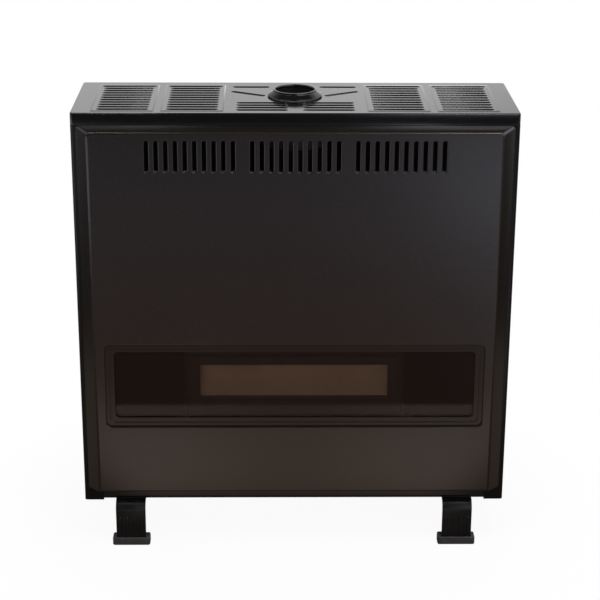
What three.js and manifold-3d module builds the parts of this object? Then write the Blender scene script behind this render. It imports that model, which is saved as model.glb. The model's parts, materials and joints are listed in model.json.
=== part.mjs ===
// Free-standing flued gas convection heater, in millimetres, +Z up.
// The origin is on the floor under the middle of the heater, and the front faces -Y.
// An enamelled sheet steel case stands on four formed legs.  A pressed front panel with a
// smoked window pulls off it, and a combustion chamber inside is piped up to a flue collar.

import * as THREE from 'three';
import { mergeVertices } from 'three/addons/utils/BufferGeometryUtils.js';
import Module from 'manifold-3d';

const wasm = await Module();
wasm.setup();

// ---------------------------------------------------------------- driving dimensions
const FIT = 0.3; // clearance between two pieces that touch
const PAST = 1; // how far a cut runs past the face that it opens
const SHEET = 1.2; // case steel with its enamel
const FOLD_RADIUS = 5; // outer radius of a folded case edge

const CASE_WIDTH = 780;
const CASE_DEPTH = 239.5;
const CASE_HEIGHT = 738.5;
const FOOT_HEIGHT = 86.5; // floor to the lower edge of the side panels

const LID_LIP = 21; // how far the lid folds down over the case
const POST_FLANGE = 35.5; // front flange of a side panel
const REAR_FLANGE = 16;
const TONGUE_HEIGHT = 12; // strip of a side panel that stands up inside the lid
const BASE_RISE = 3; // floor of the base pan above the side panels' lower edge
const BASE_LIP = 27;

const PANEL_PROUD = 22; // field of the front panel in front of the case
const PANEL_MARGIN = 8.3; // case edge to panel edge, each side
const PANEL_SIDE_BEVEL = 21.5;
const PANEL_TOP_BEVEL = 7.5;
const PANEL_TOP_GAP = 0.8; // under the lid's lip
const PANEL_BOTTOM_GAP = 26.5; // panel's lower edge above the case's lower edge
const PANEL_FOLD = 3; // radius where a bevel meets the field
const PANEL_RETURN = 14; // flange that lies on the posts
const PANEL_CORNER = 9; // radius of the panel's upper corners, seen from the front

const FRONT_SLOT_LENGTH = 56;
const FRONT_SLOT_WIDTH = 6.4;
const FRONT_SLOT_PITCH = 16.65;
const FRONT_SLOTS = 10; // in each of three groups
const FRONT_SLOT_DROP = 44; // top of the case to the top of the slots

const WINDOW_INSET = 39; // side edge of the panel to the opening pressed into it
const WINDOW_HEIGHT = 161;
const WINDOW_DROP = 420.5; // top of the case to the top of the opening
const WINDOW_RADIUS = 9;
const WINDOW_RETURN = 5; // depth of the opening's turned-in edge
const FRAME_BORDER = 16.5; // opening to visible glass
const FRAME_STEP = 8; // outer step of the window frame
const FRAME_THICKNESS = 4;
const GLASS_THICKNESS = 4;
const GLASS_LAP = 9; // glass behind its frame
const GASKET_THICKNESS = 1;
const GASKET_WIDTH = 6;
const GASKET_INSET = 1; // edge of the glass to the gasket
const GLASS_CLIP_WIDTH = 22;
const GLASS_CLIP_INSET = 137; // side of the opening to a clip
const GLASS_CLIP_CLEAR = 2; // edge of the glass to the clip's web

const STUD_RADIUS = 3;
const STUD_LENGTH = 9;
const CLIP_RADIUS = 7; // spring socket behind a post
const CLIP_LENGTH = 8;
const STUD_INSET = 22; // stud from the panel's upper or lower edge

const TOP_SLOT_WIDTH = 7;
const TOP_SLOT_PITCH = 17.65;
const TOP_SLOT_ROWS = 11;
const TOP_SLOT_START = 24; // case front to the first row
const TOP_GROUP_LENGTH = 87; // length of a slot
const TOP_GROUP_INNER = 136.5; // middle of the lid to the inner full group
const TOP_GROUP_OUTER = 257.5;
const TOP_CENTRE_INNER = 15; // middle of the lid to the short middle groups
const TOP_CENTRE_ROWS = 4;
const TOP_REAR_EXTRA = 6; // how much longer the rearmost slots are, each way
const REAR_CENTRE_SLOT = 64; // short slots beside the flue
const OBLIQUE_SLOT = 67;
const OBLIQUE_ANGLE = Math.PI / 6;
const FLUE_CLEAR = 6; // collar to the oblique slots
const FIELD_MARGIN = 9;
const FIELD_RISE = 1.2;

const FLUE_SETBACK = 131; // case front to the flue's axis
const FLUE_BORE_RADIUS = 35;
const FLUE_RIM_RADIUS = 37.6;
const FLUE_BASE_RADIUS = 49;
const FLUE_RISE = 13;
const FLUE_SEAL_THICKNESS = 1;
const FLUE_EDGE = 1.5; // upright edge of the collar's foot
const FLUE_LIP = 3; // height of the collar's rim
const FLUE_ROUND = 1; // how far the rim's outer edge is rounded

const LEG_INSET = 85.5; // side of the case to the middle of a leg
const LEG_WIDTH = 55;
const LEG_THICKNESS = 5;
const LEG_RIB_HEIGHT = 2;
const LEG_RIB_WIDTH = 4;
const LEG_RIBS = 4;
const LEG_RIB_GAP = 7.2; // knee to the top of the ribs
const LEG_FLANGE = 52; // bolted flange under the base pan
const KNEE_DROP = 12; // base pan to the middle of the knee
const FOOT_OVERHANG = 18; // front of a front pad ahead of the case
const FOOT_INSET = 4; // back of a rear pad inside the case
const PAD_WIDTH = 69.5;
const PAD_DEPTH = 24;
const PAD_HEIGHT = 16;
const PAD_SOCKET = 9; // depth of the leg's seat in its pad
const PAD_WALL = 2;
const PAD_CORNER = 2;

const RAIL_DROP = 12; // crossbar's lap below the lid's lip
const RAIL_DEPTH = 14;
const VENT_LENGTH = 60; // slots in the base and back
const VENT_WIDTH = 7;
const VENT_PITCH = 75;
const BASE_VENT_ROWS = 3;
const BASE_VENT_ROW_PITCH = 22;
const BASE_VENTS = 6; // in each row
const BACK_VENTS = 8;
const BACK_VENT_INSET = 45; // each row from the upper or lower edge

const CHAMBER_SETBACK = 60; // case front to the chamber's front wall
const CHAMBER_WIDTH = 410;
const CHAMBER_DEPTH = 140;
const CHAMBER_LIFT = 98.5; // case's lower edge to the chamber's lower edge
const CHAMBER_HEIGHT = 450;
const CHAMBER_SHOULDER = 90;
const CHAMBER_NECK_WIDTH = 130;
const CHAMBER_WALL = 1.5;
const CHAMBER_CORNER = 14;
const RISER_RADIUS = 34;
const RISER_HEIGHT = 70;
const HOOD_RADIUS = 60;
const HOOD_SKIRT = 70;
const HOOD_SHOULDER = 30;
const HOOD_LAP = 35; // how far the riser stands up inside the hood
const HOOD_CLAMP_HEIGHT = 14;
const HOOD_ARM_WIDTH = 36;
const SHIELD_WIDTH = 460;
const SHIELD_HEIGHT = 420;
const SHIELD_SETBACK = 217;
const SHIELD_LIFT = 104; // base pan to the shield's lower edge

const RADIANT_WIDTH = 349;
const RADIANT_HEIGHT = 67;
const RADIANT_DROP = 490; // top of the case to the top of the chamber's window
const MICA_THICKNESS = 1.5;
const MICA_LAP = 8;
const MICA_FRAME_BORDER = 16;
const MICA_FRAME_THICKNESS = 5;
const TILES = 4;
const TILE_THICKNESS = 12;
const TILE_SETBACK = 8; // chamber wall to the tiles
const TRAY_LIP = 1.2;

const BURNER_RADIUS = 15;
const BURNER_WALL = 1.2;
const BURNER_CLEAR = 2; // round the tube where it passes the chamber's leg
const BURNER_INSET = 50; // side of the chamber to the burner's closed end
const BURNER_DROP = 20; // chamber's lower edge to the burner's axis
const BURNER_PORTS = 12;
const BURNER_PORT_WIDTH = 3;
const VENTURI_RADIUS = 10;
const MIXER_NECK = 20; // straight tube before the mixing tube's taper
const THROAT_LENGTH = 20;
const BURNER_BRACKET_INSET = 35; // end of the burner's ported part to a bracket
const BRACKET_FLANGE = 18;
const INJECTOR_RADIUS = 7;
const INJECTOR_LENGTH = 17;
const INJECTOR_GAP = 6; // open air gap between injector and venturi
const SUPPLY_PIPE_RADIUS = 5;
const SUPPLY_RUN = 43; // injector to the valve, along the case

const RECESS_START = 50; // case front to the control recess
const RECESS_LENGTH = 120;
const RECESS_LIFT = 43.5; // case's lower edge to the recess
const RECESS_HEIGHT = 70;
const RECESS_DEPTH = 26;
const RECESS_FLANGE = 8;
const RECESS_RADIUS = 8;
const KNOB_PLACE = 45; // start of the recess to the knob's axis
const KNOB_RADIUS = 20;
const KNOB_LENGTH = 18;
const KNOB_PUSH = 4;
const KNOB_GAP = 1; // pushed knob to the recess floor
const KNOB_BOSS = 4; // round base of the knob
const KNOB_BOSS_INSET = 3;
const KNOB_COVER = 4; // end of the stem to the face of the pushed knob
const KNOB_MARK = 1.6; // width of the pointer groove
const KNOB_MARK_DEPTH = 1;
const KNOB_MARK_START = 6; // axis to the groove's inner end
const KNOB_FLUTE_DEPTH = 0.8;
const KNOB_FLUTES = 14;
const STEM_RADIUS = 4;
const STEM_FLAT = 2.6; // axis to the flat of the stem
const STEM_SEAT = 8; // how far the stem reaches into the valve
const IGNITER_PLACE = 100; // start of the recess to the button's axis
const BUTTON_RADIUS = 8;
const BUTTON_STAND = 12; // button's face in front of the recess floor
const BUTTON_TRAVEL = 6;
const BUTTON_LENGTH = 26;
const IGNITER_RADIUS = 10.7;
const IGNITER_FLANGE = 3; // thickness of the flange and its width round the body
const IGNITER_LENGTH = 52;
const VALVE_LENGTH = 60;
const VALVE_WIDTH = 55;
const VALVE_HEIGHT = 42;
const VALVE_CORNER = 5;
const VALVE_COLLAR = 6; // length of the round collar behind the recess
const VALVE_COLLAR_RADIUS = 18;
const VALVE_NUT = 8; // length of the outlet nut
const VALVE_NUT_WALL = 4;
const VALVE_PORT_LIFT = 6; // underside of the valve to its small ports
const PILOT_PORT = 20; // front of the valve to the pilot pipe's port
const THERMOCOUPLE_PORT = 8;
const INLET_INSET = 38; // side of the case to the gas inlet
const INLET_PLACE = 205; // case front to the gas inlet
const INLET_RADIUS = 8;
const INLET_BORE = 5;
const INLET_BEND = 9.6;
const INLET_DROP_PLACE = 17; // recess side of the valve to the inlet pipe
const UNION_HEIGHT = 16;
const UNION_RADIUS = 14;

const PILOT_INSET = 25; // side of the chamber to the pilot
const PILOT_RADIUS = 4;
const PILOT_SPACING = 12;
const PILOT_HEIGHT = 34;
const PILOT_AHEAD = 8; // pilot's axis in front of the burner's
const PILOT_HOOD = 6; // height of the pilot burner's head
const PILOT_HOOD_WALL = 1;
const PILOT_PLATE_EDGE = 3; // hole to the edge of the bracket's plate
const PILOT_BRACKET_REACH = 22; // pilot's axis to the bracket's upright
const ELECTRODE_BARE = 8; // length of bare wire above the ceramic
const ELECTRODE_OVER = 2; // electrode's end above the pilot's head
const THERMOCOUPLE_RADIUS = 2.5;
const PILOT_PIPE_RADIUS = 2;
const LEAD_RADIUS = 1.5;
const LEAD_SETBACK = 82; // case front to the pipe and leads along the base
const LEAD_LIFT = 40;
const LEAD_SPACING = 9;

// ---------------------------------------------------------------- reference planes
const DEPTH = CASE_DEPTH + PANEL_PROUD;
const BACK = DEPTH / 2;
const FRONT = BACK - CASE_DEPTH; // front of the case, behind the panel
const PANEL_FACE = FRONT - PANEL_PROUD;
const SIDE = CASE_WIDTH / 2;
const BOTTOM = FOOT_HEIGHT;
const TOP = BOTTOM + CASE_HEIGHT;
const LIP_EDGE = TOP - LID_LIP;
const FLUE_Y = FRONT + FLUE_SETBACK;

// ---------------------------------------------------------------- materials
const finish = (color, roughness, metalness) =>
  new THREE.MeshStandardMaterial({ color, roughness, metalness });

const blackEnamel = finish(0x0b0b0c, 0.18, 0.0);
const brownEnamel = finish(0x2b2522, 0.32, 0.0);
const galvanised = finish(0x8d9193, 0.5, 0.8);
const smokedGlass = finish(0x1c140d, 0.06, 0.0);
const heatSteel = finish(0x2c241e, 0.6, 0.5);
const ceramic = finish(0xa98d72, 0.85, 0.0);
const sealFibre = finish(0x9a958a, 0.95, 0.0);
const mica = finish(0x8a6f52, 0.3, 0.0);
const brass = finish(0xb08d45, 0.35, 0.9);
const copper = finish(0xa9663f, 0.4, 0.9);
const steel = finish(0xa5a7a9, 0.35, 0.9);
const blackPlastic = finish(0x121213, 0.45, 0.0);
const darkRubber = finish(0x1a1a1b, 0.75, 0.0);

// ---------------------------------------------------------------- solids
function toSolid(geometry) {
  geometry.deleteAttribute('normal');
  geometry.deleteAttribute('uv');
  const merged = mergeVertices(geometry, 1e-4);
  return new wasm.Manifold(new wasm.Mesh({
    numProp: 3,
    vertProperties: new Float32Array(merged.attributes.position.array),
    triVerts: new Uint32Array(merged.index.array),
  }));
}

function toGeometry(solid) {
  const mesh = solid.getMesh();
  const geometry = new THREE.BufferGeometry();
  const places = new Float32Array(mesh.vertProperties);
  geometry.setAttribute('position', new THREE.BufferAttribute(places, 3));
  geometry.setIndex(new THREE.BufferAttribute(new Uint32Array(mesh.triVerts), 1));
  const facets = geometry.toNonIndexed();
  facets.computeVertexNormals();
  return facets;
}

// A shape drawn in two axes is extruded along the third, from one place to another.
const AXIS_TURN = {
  x: new THREE.Matrix4().set(0, 0, 1, 0, 1, 0, 0, 0, 0, 1, 0, 0, 0, 0, 0, 1),
  y: new THREE.Matrix4().set(1, 0, 0, 0, 0, 0, -1, 0, 0, 1, 0, 0, 0, 0, 0, 1),
  z: new THREE.Matrix4(),
};

function prism(axis, shapes, from, to, curveSegments = 2) {
  const geometry = new THREE.ExtrudeGeometry(shapes, {
    depth: to - from, bevelEnabled: false, curveSegments,
  });
  geometry.translate(0, 0, axis === 'y' ? -to : from);
  geometry.applyMatrix4(AXIS_TURN[axis]);
  return toSolid(geometry);
}

function block(x0, x1, y0, y1, z0, z1) {
  const geometry = new THREE.BoxGeometry(x1 - x0, y1 - y0, z1 - z0);
  geometry.translate((x0 + x1) / 2, (y0 + y1) / 2, (z0 + z1) / 2);
  return toSolid(geometry);
}

// A rod along an axis; u and v are its centre in the other two axes, in x, y, z order.
function rod(axis, radius, from, to, u, v, sides = 24) {
  const shape = new THREE.Shape();
  shape.absarc(u, v, radius, 0, Math.PI * 2);
  return prism(axis, shape, from, to, sides / 2);
}

// A turned piece from points of radius and height that close on themselves or on the axis.
function turned(points, x, y, z, segments = 32) {
  const profile = points.map(([radius, height]) => new THREE.Vector2(radius, height));
  const closed = points[0][0] > 0 ? [...profile, profile[0]] : profile;
  const geometry = new THREE.LatheGeometry(closed, segments);
  geometry.rotateX(Math.PI / 2);
  geometry.translate(x, y, z);
  return toSolid(geometry);
}

function rectangle(a0, a1, b0, b1, radius = 0) {
  const shape = new THREE.Shape();
  if (radius === 0) {
    shape.moveTo(a0, b0);
    shape.lineTo(a1, b0);
    shape.lineTo(a1, b1);
    shape.lineTo(a0, b1);
    shape.closePath();
    return shape;
  }
  const quarter = Math.PI / 2;
  shape.moveTo(a0 + radius, b0);
  shape.lineTo(a1 - radius, b0);
  shape.absarc(a1 - radius, b0 + radius, radius, -quarter, 0);
  shape.lineTo(a1, b1 - radius);
  shape.absarc(a1 - radius, b1 - radius, radius, 0, quarter);
  shape.lineTo(a0 + radius, b1);
  shape.absarc(a0 + radius, b1 - radius, radius, quarter, 2 * quarter);
  shape.lineTo(a0, b0 + radius);
  shape.absarc(a0 + radius, b0 + radius, radius, 2 * quarter, 3 * quarter);
  return shape;
}

function slot(a, b, length, width, angle = 0) {
  const radius = width / 2;
  const reach = length / 2 - radius;
  const along = new THREE.Vector2(Math.cos(angle), Math.sin(angle)).multiplyScalar(reach);
  const shape = new THREE.Shape();
  shape.absarc(a + along.x, b + along.y, radius, angle - Math.PI / 2, angle + Math.PI / 2);
  shape.absarc(a - along.x, b - along.y, radius, angle + Math.PI / 2, angle + Math.PI * 1.5);
  return shape;
}

// A polyline whose corners are rounded by a bend radius.
function bentPath(points, bend) {
  const path = new THREE.CurvePath();
  const corners = points.map((point) => new THREE.Vector3(...point));
  let start = corners[0];
  for (let i = 1; i < corners.length - 1; i += 1) {
    const [last, here, next] = corners.slice(i - 1, i + 2);
    const before = here.clone().lerp(last, bend / here.distanceTo(last));
    const after = here.clone().lerp(next, bend / here.distanceTo(next));
    path.add(new THREE.LineCurve3(start, before));
    path.add(new THREE.QuadraticBezierCurve3(before, here, after));
    start = after;
  }
  path.add(new THREE.LineCurve3(start, corners.at(-1)));
  return path;
}

function tube(points, radius, bend, sides = 8, steps = 24) {
  const section = new THREE.Shape();
  section.absarc(0, 0, radius, 0, Math.PI * 2);
  return toSolid(new THREE.ExtrudeGeometry(section, {
    extrudePath: bentPath(points, bend), steps, bevelEnabled: false, curveSegments: sides / 2,
  }));
}

const joined = (solids) => solids.reduce((whole, next) => whole.add(next));
const cut = (whole, tools) => tools.reduce((rest, tool) => rest.subtract(tool), whole);

const heater = new THREE.Group();
function piece(name, solid, material) {
  const mesh = new THREE.Mesh(toGeometry(solid), material);
  mesh.name = name;
  heater.add(mesh);
  return mesh;
}

// ---------------------------------------------------------------- lid with its grilles
// The top and its four lips are one folded sheet; every slot is punched in a raised field.
const topGroups = [-TOP_GROUP_OUTER - TOP_GROUP_LENGTH, -TOP_GROUP_INNER - TOP_GROUP_LENGTH,
  TOP_GROUP_INNER, TOP_GROUP_OUTER];
const rowY = (row) => FRONT + TOP_SLOT_START + row * TOP_SLOT_PITCH;
const lastRow = TOP_SLOT_ROWS - 1;

function lidForm(inset, bottom) {
  const radius = FOLD_RADIUS - inset;
  const left = -SIDE + inset;
  const right = SIDE - inset;
  const front = FRONT + inset;
  const back = BACK - inset;
  const top = TOP - inset;
  const below = bottom - 2 * FOLD_RADIUS; // the rounded lower corners are cut away again
  const across = prism('y', rectangle(left, right, below, top, radius), front, back);
  const along = prism('x', rectangle(front, back, below, top, radius), left, right);
  const down = prism('z', rectangle(left, right, front, back, radius), bottom, top);
  return across.intersect(along).intersect(down);
}

function lidFields(rise, inset) {
  const fields = topGroups.map((left) => rectangle(
    left - FIELD_MARGIN + inset, left + TOP_GROUP_LENGTH + FIELD_MARGIN - inset,
    rowY(0) - TOP_SLOT_WIDTH / 2 - FIELD_MARGIN + inset,
    rowY(lastRow) + TOP_SLOT_WIDTH / 2 + FIELD_MARGIN - inset,
  ));
  return prism('z', fields, TOP - 2 * SHEET, TOP + rise);
}

function lidSlots() {
  const slots = [];
  for (const left of topGroups) {
    const middle = left + TOP_GROUP_LENGTH / 2;
    for (let row = 0; row < TOP_SLOT_ROWS; row += 1) {
      const extra = row === lastRow ? 2 * TOP_REAR_EXTRA : 0;
      slots.push(slot(middle, rowY(row), TOP_GROUP_LENGTH + extra, TOP_SLOT_WIDTH));
    }
  }
  const rearMiddle = TOP_CENTRE_INNER + TOP_GROUP_LENGTH + FIELD_MARGIN - REAR_CENTRE_SLOT / 2;
  const obliqueReach = OBLIQUE_SLOT / 2;
  for (const side of [-1, 1]) {
    for (let row = 0; row < TOP_CENTRE_ROWS; row += 1) {
      const middle = side * (TOP_CENTRE_INNER + TOP_GROUP_LENGTH / 2);
      slots.push(slot(middle, rowY(row), TOP_GROUP_LENGTH, TOP_SLOT_WIDTH));
    }
    slots.push(slot(side * rearMiddle, rowY(lastRow), REAR_CENTRE_SLOT, TOP_SLOT_WIDTH));
    slots.push(slot(
      side * (FLUE_BASE_RADIUS + FLUE_CLEAR + obliqueReach * Math.cos(OBLIQUE_ANGLE)),
      FLUE_Y + obliqueReach * Math.sin(OBLIQUE_ANGLE),
      OBLIQUE_SLOT, TOP_SLOT_WIDTH, side * OBLIQUE_ANGLE,
    ));
  }
  return prism('z', slots, TOP - 3 * SHEET, TOP + 2 * FIELD_RISE, 1);
}

const flueHole = rod('z', FLUE_BORE_RADIUS + FIT, TOP - 3 * SHEET, TOP + PAST, 0, FLUE_Y, 32);
const lid = cut(
  lidForm(0, LIP_EDGE).add(lidFields(FIELD_RISE, 0)),
  [lidForm(SHEET, LIP_EDGE - PAST), lidFields(FIELD_RISE - SHEET, SHEET), lidSlots(), flueHole],
);
piece('top_cover', lid, blackEnamel);

// ---------------------------------------------------------------- case
// Each side panel is one C-shaped fold with a tongue that stands up inside the lid.
const tongueInset = SHEET + FIT;
const leftPost = -SIDE + POST_FLANGE;

function sideSection() {
  const inner = FOLD_RADIUS - SHEET;
  const bend = -SIDE + FOLD_RADIUS;
  const half = Math.PI;
  const shape = new THREE.Shape();
  shape.moveTo(leftPost, FRONT);
  shape.lineTo(leftPost, FRONT + SHEET);
  shape.lineTo(bend, FRONT + SHEET);
  shape.absarc(bend, FRONT + FOLD_RADIUS, inner, 1.5 * half, half, true);
  shape.lineTo(-SIDE + SHEET, BACK - FOLD_RADIUS);
  shape.absarc(bend, BACK - FOLD_RADIUS, inner, half, half / 2, true);
  shape.lineTo(-SIDE + REAR_FLANGE, BACK - SHEET);
  shape.lineTo(-SIDE + REAR_FLANGE, BACK);
  shape.lineTo(bend, BACK);
  shape.absarc(bend, BACK - FOLD_RADIUS, FOLD_RADIUS, half / 2, half, false);
  shape.lineTo(-SIDE, FRONT + FOLD_RADIUS);
  shape.absarc(bend, FRONT + FOLD_RADIUS, FOLD_RADIUS, half, 1.5 * half, false);
  return shape;
}

function mirrored(solid) {
  const mesh = solid.getMesh();
  const places = new Float32Array(mesh.vertProperties);
  for (let i = 0; i < places.length; i += 3) places[i] *= -1;
  const corners = new Uint32Array(mesh.triVerts);
  for (let i = 0; i < corners.length; i += 3) [corners[i], corners[i + 1]] = [corners[i + 1], corners[i]];
  return new wasm.Manifold(new wasm.Mesh({ numProp: 3, vertProperties: places, triVerts: corners }));
}

// Spring studs of the front panel pass through the posts near the panel's four corners.
const PANEL_TOP = LIP_EDGE - PANEL_TOP_GAP;
const PANEL_BOTTOM = BOTTOM + PANEL_BOTTOM_GAP;
const PANEL_SIDE = SIDE - PANEL_MARGIN;
const PANEL_REAR = FRONT - FIT;
const studX = PANEL_SIDE - PANEL_RETURN / 2;
const studPlaces = [
  { name: 'lower_left', x: -studX, z: PANEL_BOTTOM + STUD_INSET },
  { name: 'lower_right', x: studX, z: PANEL_BOTTOM + STUD_INSET },
  { name: 'upper_left', x: -studX, z: PANEL_TOP - STUD_INSET },
  { name: 'upper_right', x: studX, z: PANEL_TOP - STUD_INSET },
];

const shoulderTop = LIP_EDGE - FIT;
const tongueFront = FRONT + 2 * FOLD_RADIUS;
const tongueBack = BACK - 2 * FOLD_RADIUS;
const leftStudHoles = studPlaces.filter(({ x }) => x < 0)
  .map(({ x, z }) => rod('y', STUD_RADIUS + FIT, FRONT - PAST, FRONT + 2 * SHEET, x, z, 16));
const leftSide = cut(
  joined([
    prism('z', sideSection(), BOTTOM, shoulderTop),
    block(-SIDE + SHEET / 2, -SIDE + tongueInset + SHEET, tongueFront, tongueBack,
      shoulderTop - SHEET, shoulderTop),
    block(-SIDE + tongueInset, -SIDE + tongueInset + SHEET, tongueFront, tongueBack,
      shoulderTop - SHEET / 2, shoulderTop + TONGUE_HEIGHT),
  ]),
  leftStudHoles,
);

const recess = {
  front: FRONT + RECESS_START,
  back: FRONT + RECESS_START + RECESS_LENGTH,
  bottom: BOTTOM + RECESS_LIFT,
  top: BOTTOM + RECESS_LIFT + RECESS_HEIGHT,
};
// Planes of the recess and of the valve behind it, from the right side inwards.
const recessWall = SIDE - SHEET - FIT;
const recessFloor = recessWall - RECESS_DEPTH;
const valveFace = recessFloor - SHEET - FIT;
const valveLeft = valveFace - VALVE_LENGTH;

// The recess's outline, larger by a margin.
function recessPlate(margin, from, to) {
  return prism('x', rectangle(recess.front - margin, recess.back + margin, recess.bottom - margin,
    recess.top + margin, RECESS_RADIUS + margin), from, to);
}
piece('side_panel_left', leftSide, blackEnamel);
piece('side_panel_right', mirrored(leftSide).subtract(recessPlate(0, SIDE - 2 * SHEET, SIDE + PAST)),
  blackEnamel);

// The base pan's front lip shows between the posts, flush with them.
const BASE_FLOOR = BOTTOM + BASE_RISE;
const BASE_TOP = BASE_FLOOR + SHEET;
const baseSide = SIDE - SHEET - FIT;
const baseRear = BACK - 2 * (SHEET + FIT);
const baseLipSide = SIDE - POST_FLANGE - FIT;

function baseForm(inset, bottom, top) {
  const front = FRONT + SHEET + FIT + inset;
  const wide = rectangle(-baseSide + inset, baseSide - inset, front, baseRear - inset, FOLD_RADIUS - inset);
  const lip = new THREE.Shape();
  lip.moveTo(FRONT + inset, top);
  lip.lineTo(FRONT + inset, bottom + FOLD_RADIUS);
  lip.quadraticCurveTo(FRONT + inset, bottom, FRONT + FOLD_RADIUS, bottom);
  lip.lineTo(front + POST_FLANGE, bottom);
  lip.lineTo(front + POST_FLANGE, top);
  lip.closePath();
  return prism('z', wide, bottom, top).add(prism('x', lip, -baseLipSide + inset, baseLipSide - inset));
}

function ventRows(axis, count, rows, across, from, to) {
  const shapes = [];
  for (const row of rows) {
    for (let i = 0; i < count; i += 1) {
      shapes.push(slot((i - (count - 1) / 2) * VENT_PITCH, row, VENT_LENGTH, across));
    }
  }
  return prism(axis, shapes, from, to, 1);
}

const baseVentRows = Array.from({ length: BASE_VENT_ROWS },
  (_, i) => FRONT + CASE_DEPTH / 2 + (i - (BASE_VENT_ROWS - 1) / 2) * BASE_VENT_ROW_PITCH);
const inlet = { x: SIDE - INLET_INSET, y: FRONT + INLET_PLACE };
const inletHole = rod('z', INLET_RADIUS + FIT, BASE_FLOOR - PAST, BASE_TOP + PAST, inlet.x, inlet.y, 16);
piece('base_pan', cut(baseForm(0, BASE_FLOOR, BASE_FLOOR + BASE_LIP), [
  baseForm(SHEET, BASE_TOP, BASE_FLOOR + BASE_LIP + PAST),
  ventRows('z', BASE_VENTS, baseVentRows, VENT_WIDTH, BASE_FLOOR - PAST, BASE_TOP + PAST),
  inletHole,
]), blackEnamel);

const backInner = BACK - 2 * SHEET - FIT;
const backSide = SIDE - FOLD_RADIUS;
const backVentRows = [BASE_FLOOR + BACK_VENT_INSET, TOP - BACK_VENT_INSET];

// An L folded from sheet, its web at one Y and its flange turned into the case under the lid.
function foldedAngle(web, inward, low, high, depth) {
  const bend = web + inward * FOLD_RADIUS;
  const upright = inward > 0 ? Math.PI : 0; // direction from the fold's centre to the web
  const shape = new THREE.Shape();
  shape.moveTo(web, low);
  shape.lineTo(web + inward * SHEET, low);
  shape.lineTo(web + inward * SHEET, high - FOLD_RADIUS);
  shape.quadraticCurveTo(web + inward * SHEET, high - SHEET, bend, high - SHEET);
  shape.lineTo(web + inward * depth, high - SHEET);
  shape.lineTo(web + inward * depth, high);
  shape.lineTo(bend, high);
  shape.absarc(bend, high - FOLD_RADIUS, FOLD_RADIUS, Math.PI / 2, upright, inward < 0);
  return prism('x', shape, -backSide, backSide);
}

const underLid = TOP - SHEET - FIT;
piece('back_panel', foldedAngle(BACK - SHEET - FIT, -1, BASE_FLOOR, underLid, RAIL_DEPTH)
  .subtract(ventRows('y', BACK_VENTS, backVentRows, VENT_WIDTH, backInner - PAST, BACK)), galvanised);
piece('top_crossbar', foldedAngle(FRONT + SHEET + FIT, 1, LIP_EDGE - RAIL_DROP, underLid, RAIL_DEPTH),
  galvanised);

for (const { name, x, z } of studPlaces) {
  const start = FRONT + SHEET + FIT;
  piece(`panel_clip_${name}`, rod('y', CLIP_RADIUS, start, start + CLIP_LENGTH, x, z, 16)
    .subtract(rod('y', STUD_RADIUS + FIT, start - PAST, start + CLIP_LENGTH + PAST, x, z, 16)), steel);
}

// ---------------------------------------------------------------- pressed front panel
// A sheet pressed into a shallow pan: its section up and its section across are cut together,
// which leaves the mitres at the corners, and the same pan one sheet smaller hollows it.
const panelDepth = PANEL_REAR - PANEL_FACE;

function bevelledSection(low, high, lowBevel, highBevel, inset, swap) {
  const lowSlope = lowBevel / panelDepth;
  const highSlope = highBevel / panelDepth;
  const face = PANEL_FACE + inset;
  const lowRear = low + inset * Math.hypot(1, lowSlope);
  const highRear = high - inset * Math.hypot(1, highSlope);
  const lowFace = lowRear + lowSlope * (panelDepth - inset);
  const highFace = highRear - highSlope * (panelDepth - inset);
  const lowFold = PANEL_FOLD * lowSlope;
  const highFold = PANEL_FOLD * highSlope;
  const at = (along, y) => (swap ? [y, along] : [along, y]);
  const shape = new THREE.Shape();
  shape.moveTo(...at(lowRear, PANEL_REAR));
  shape.lineTo(...at(lowFace - lowFold, face + PANEL_FOLD));
  shape.quadraticCurveTo(...at(lowFace, face), ...at(lowFace + PANEL_FOLD, face));
  shape.lineTo(...at(highFace - PANEL_FOLD, face));
  shape.quadraticCurveTo(...at(highFace, face), ...at(highFace + highFold, face + PANEL_FOLD));
  shape.lineTo(...at(highRear, PANEL_REAR));
  return shape;
}

function panelOutline(inset) {
  const left = -PANEL_SIDE + inset;
  const right = PANEL_SIDE - inset;
  const radius = PANEL_CORNER - inset;
  const top = PANEL_TOP - inset;
  const shape = new THREE.Shape();
  shape.moveTo(left, PANEL_BOTTOM + inset);
  shape.lineTo(right, PANEL_BOTTOM + inset);
  shape.lineTo(right, top - radius);
  shape.absarc(right - radius, top - radius, radius, 0, Math.PI / 2);
  shape.lineTo(left + radius, top);
  shape.absarc(left + radius, top - radius, radius, Math.PI / 2, Math.PI);
  return shape;
}

function panelForm(inset) {
  const across = bevelledSection(-PANEL_SIDE, PANEL_SIDE, PANEL_SIDE_BEVEL, PANEL_SIDE_BEVEL, inset, false);
  const upward = bevelledSection(PANEL_BOTTOM, PANEL_TOP, 0, PANEL_TOP_BEVEL, inset, true);
  return prism('z', across, PANEL_BOTTOM - PAST, PANEL_TOP + PAST)
    .intersect(prism('x', upward, -PANEL_SIDE - PAST, PANEL_SIDE + PAST))
    .intersect(prism('y', panelOutline(inset), PANEL_FACE - PAST, PANEL_REAR + PAST, 3));
}

const opening = {
  side: PANEL_SIDE - WINDOW_INSET,
  top: TOP - WINDOW_DROP,
  bottom: TOP - WINDOW_DROP - WINDOW_HEIGHT,
};
// The opening's outline, larger by a margin or smaller by a negative one.
function openingOutline(margin) {
  return rectangle(-opening.side - margin, opening.side + margin, opening.bottom - margin,
    opening.top + margin, Math.max(WINDOW_RADIUS + margin, 1));
}
function openingPlate(margin, from, to) {
  return prism('y', openingOutline(margin), from, to, 3);
}
function openingRing(outer, inner, from, to) {
  return openingPlate(outer, from, to).subtract(openingPlate(inner, from - PAST, to + PAST));
}

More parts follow.
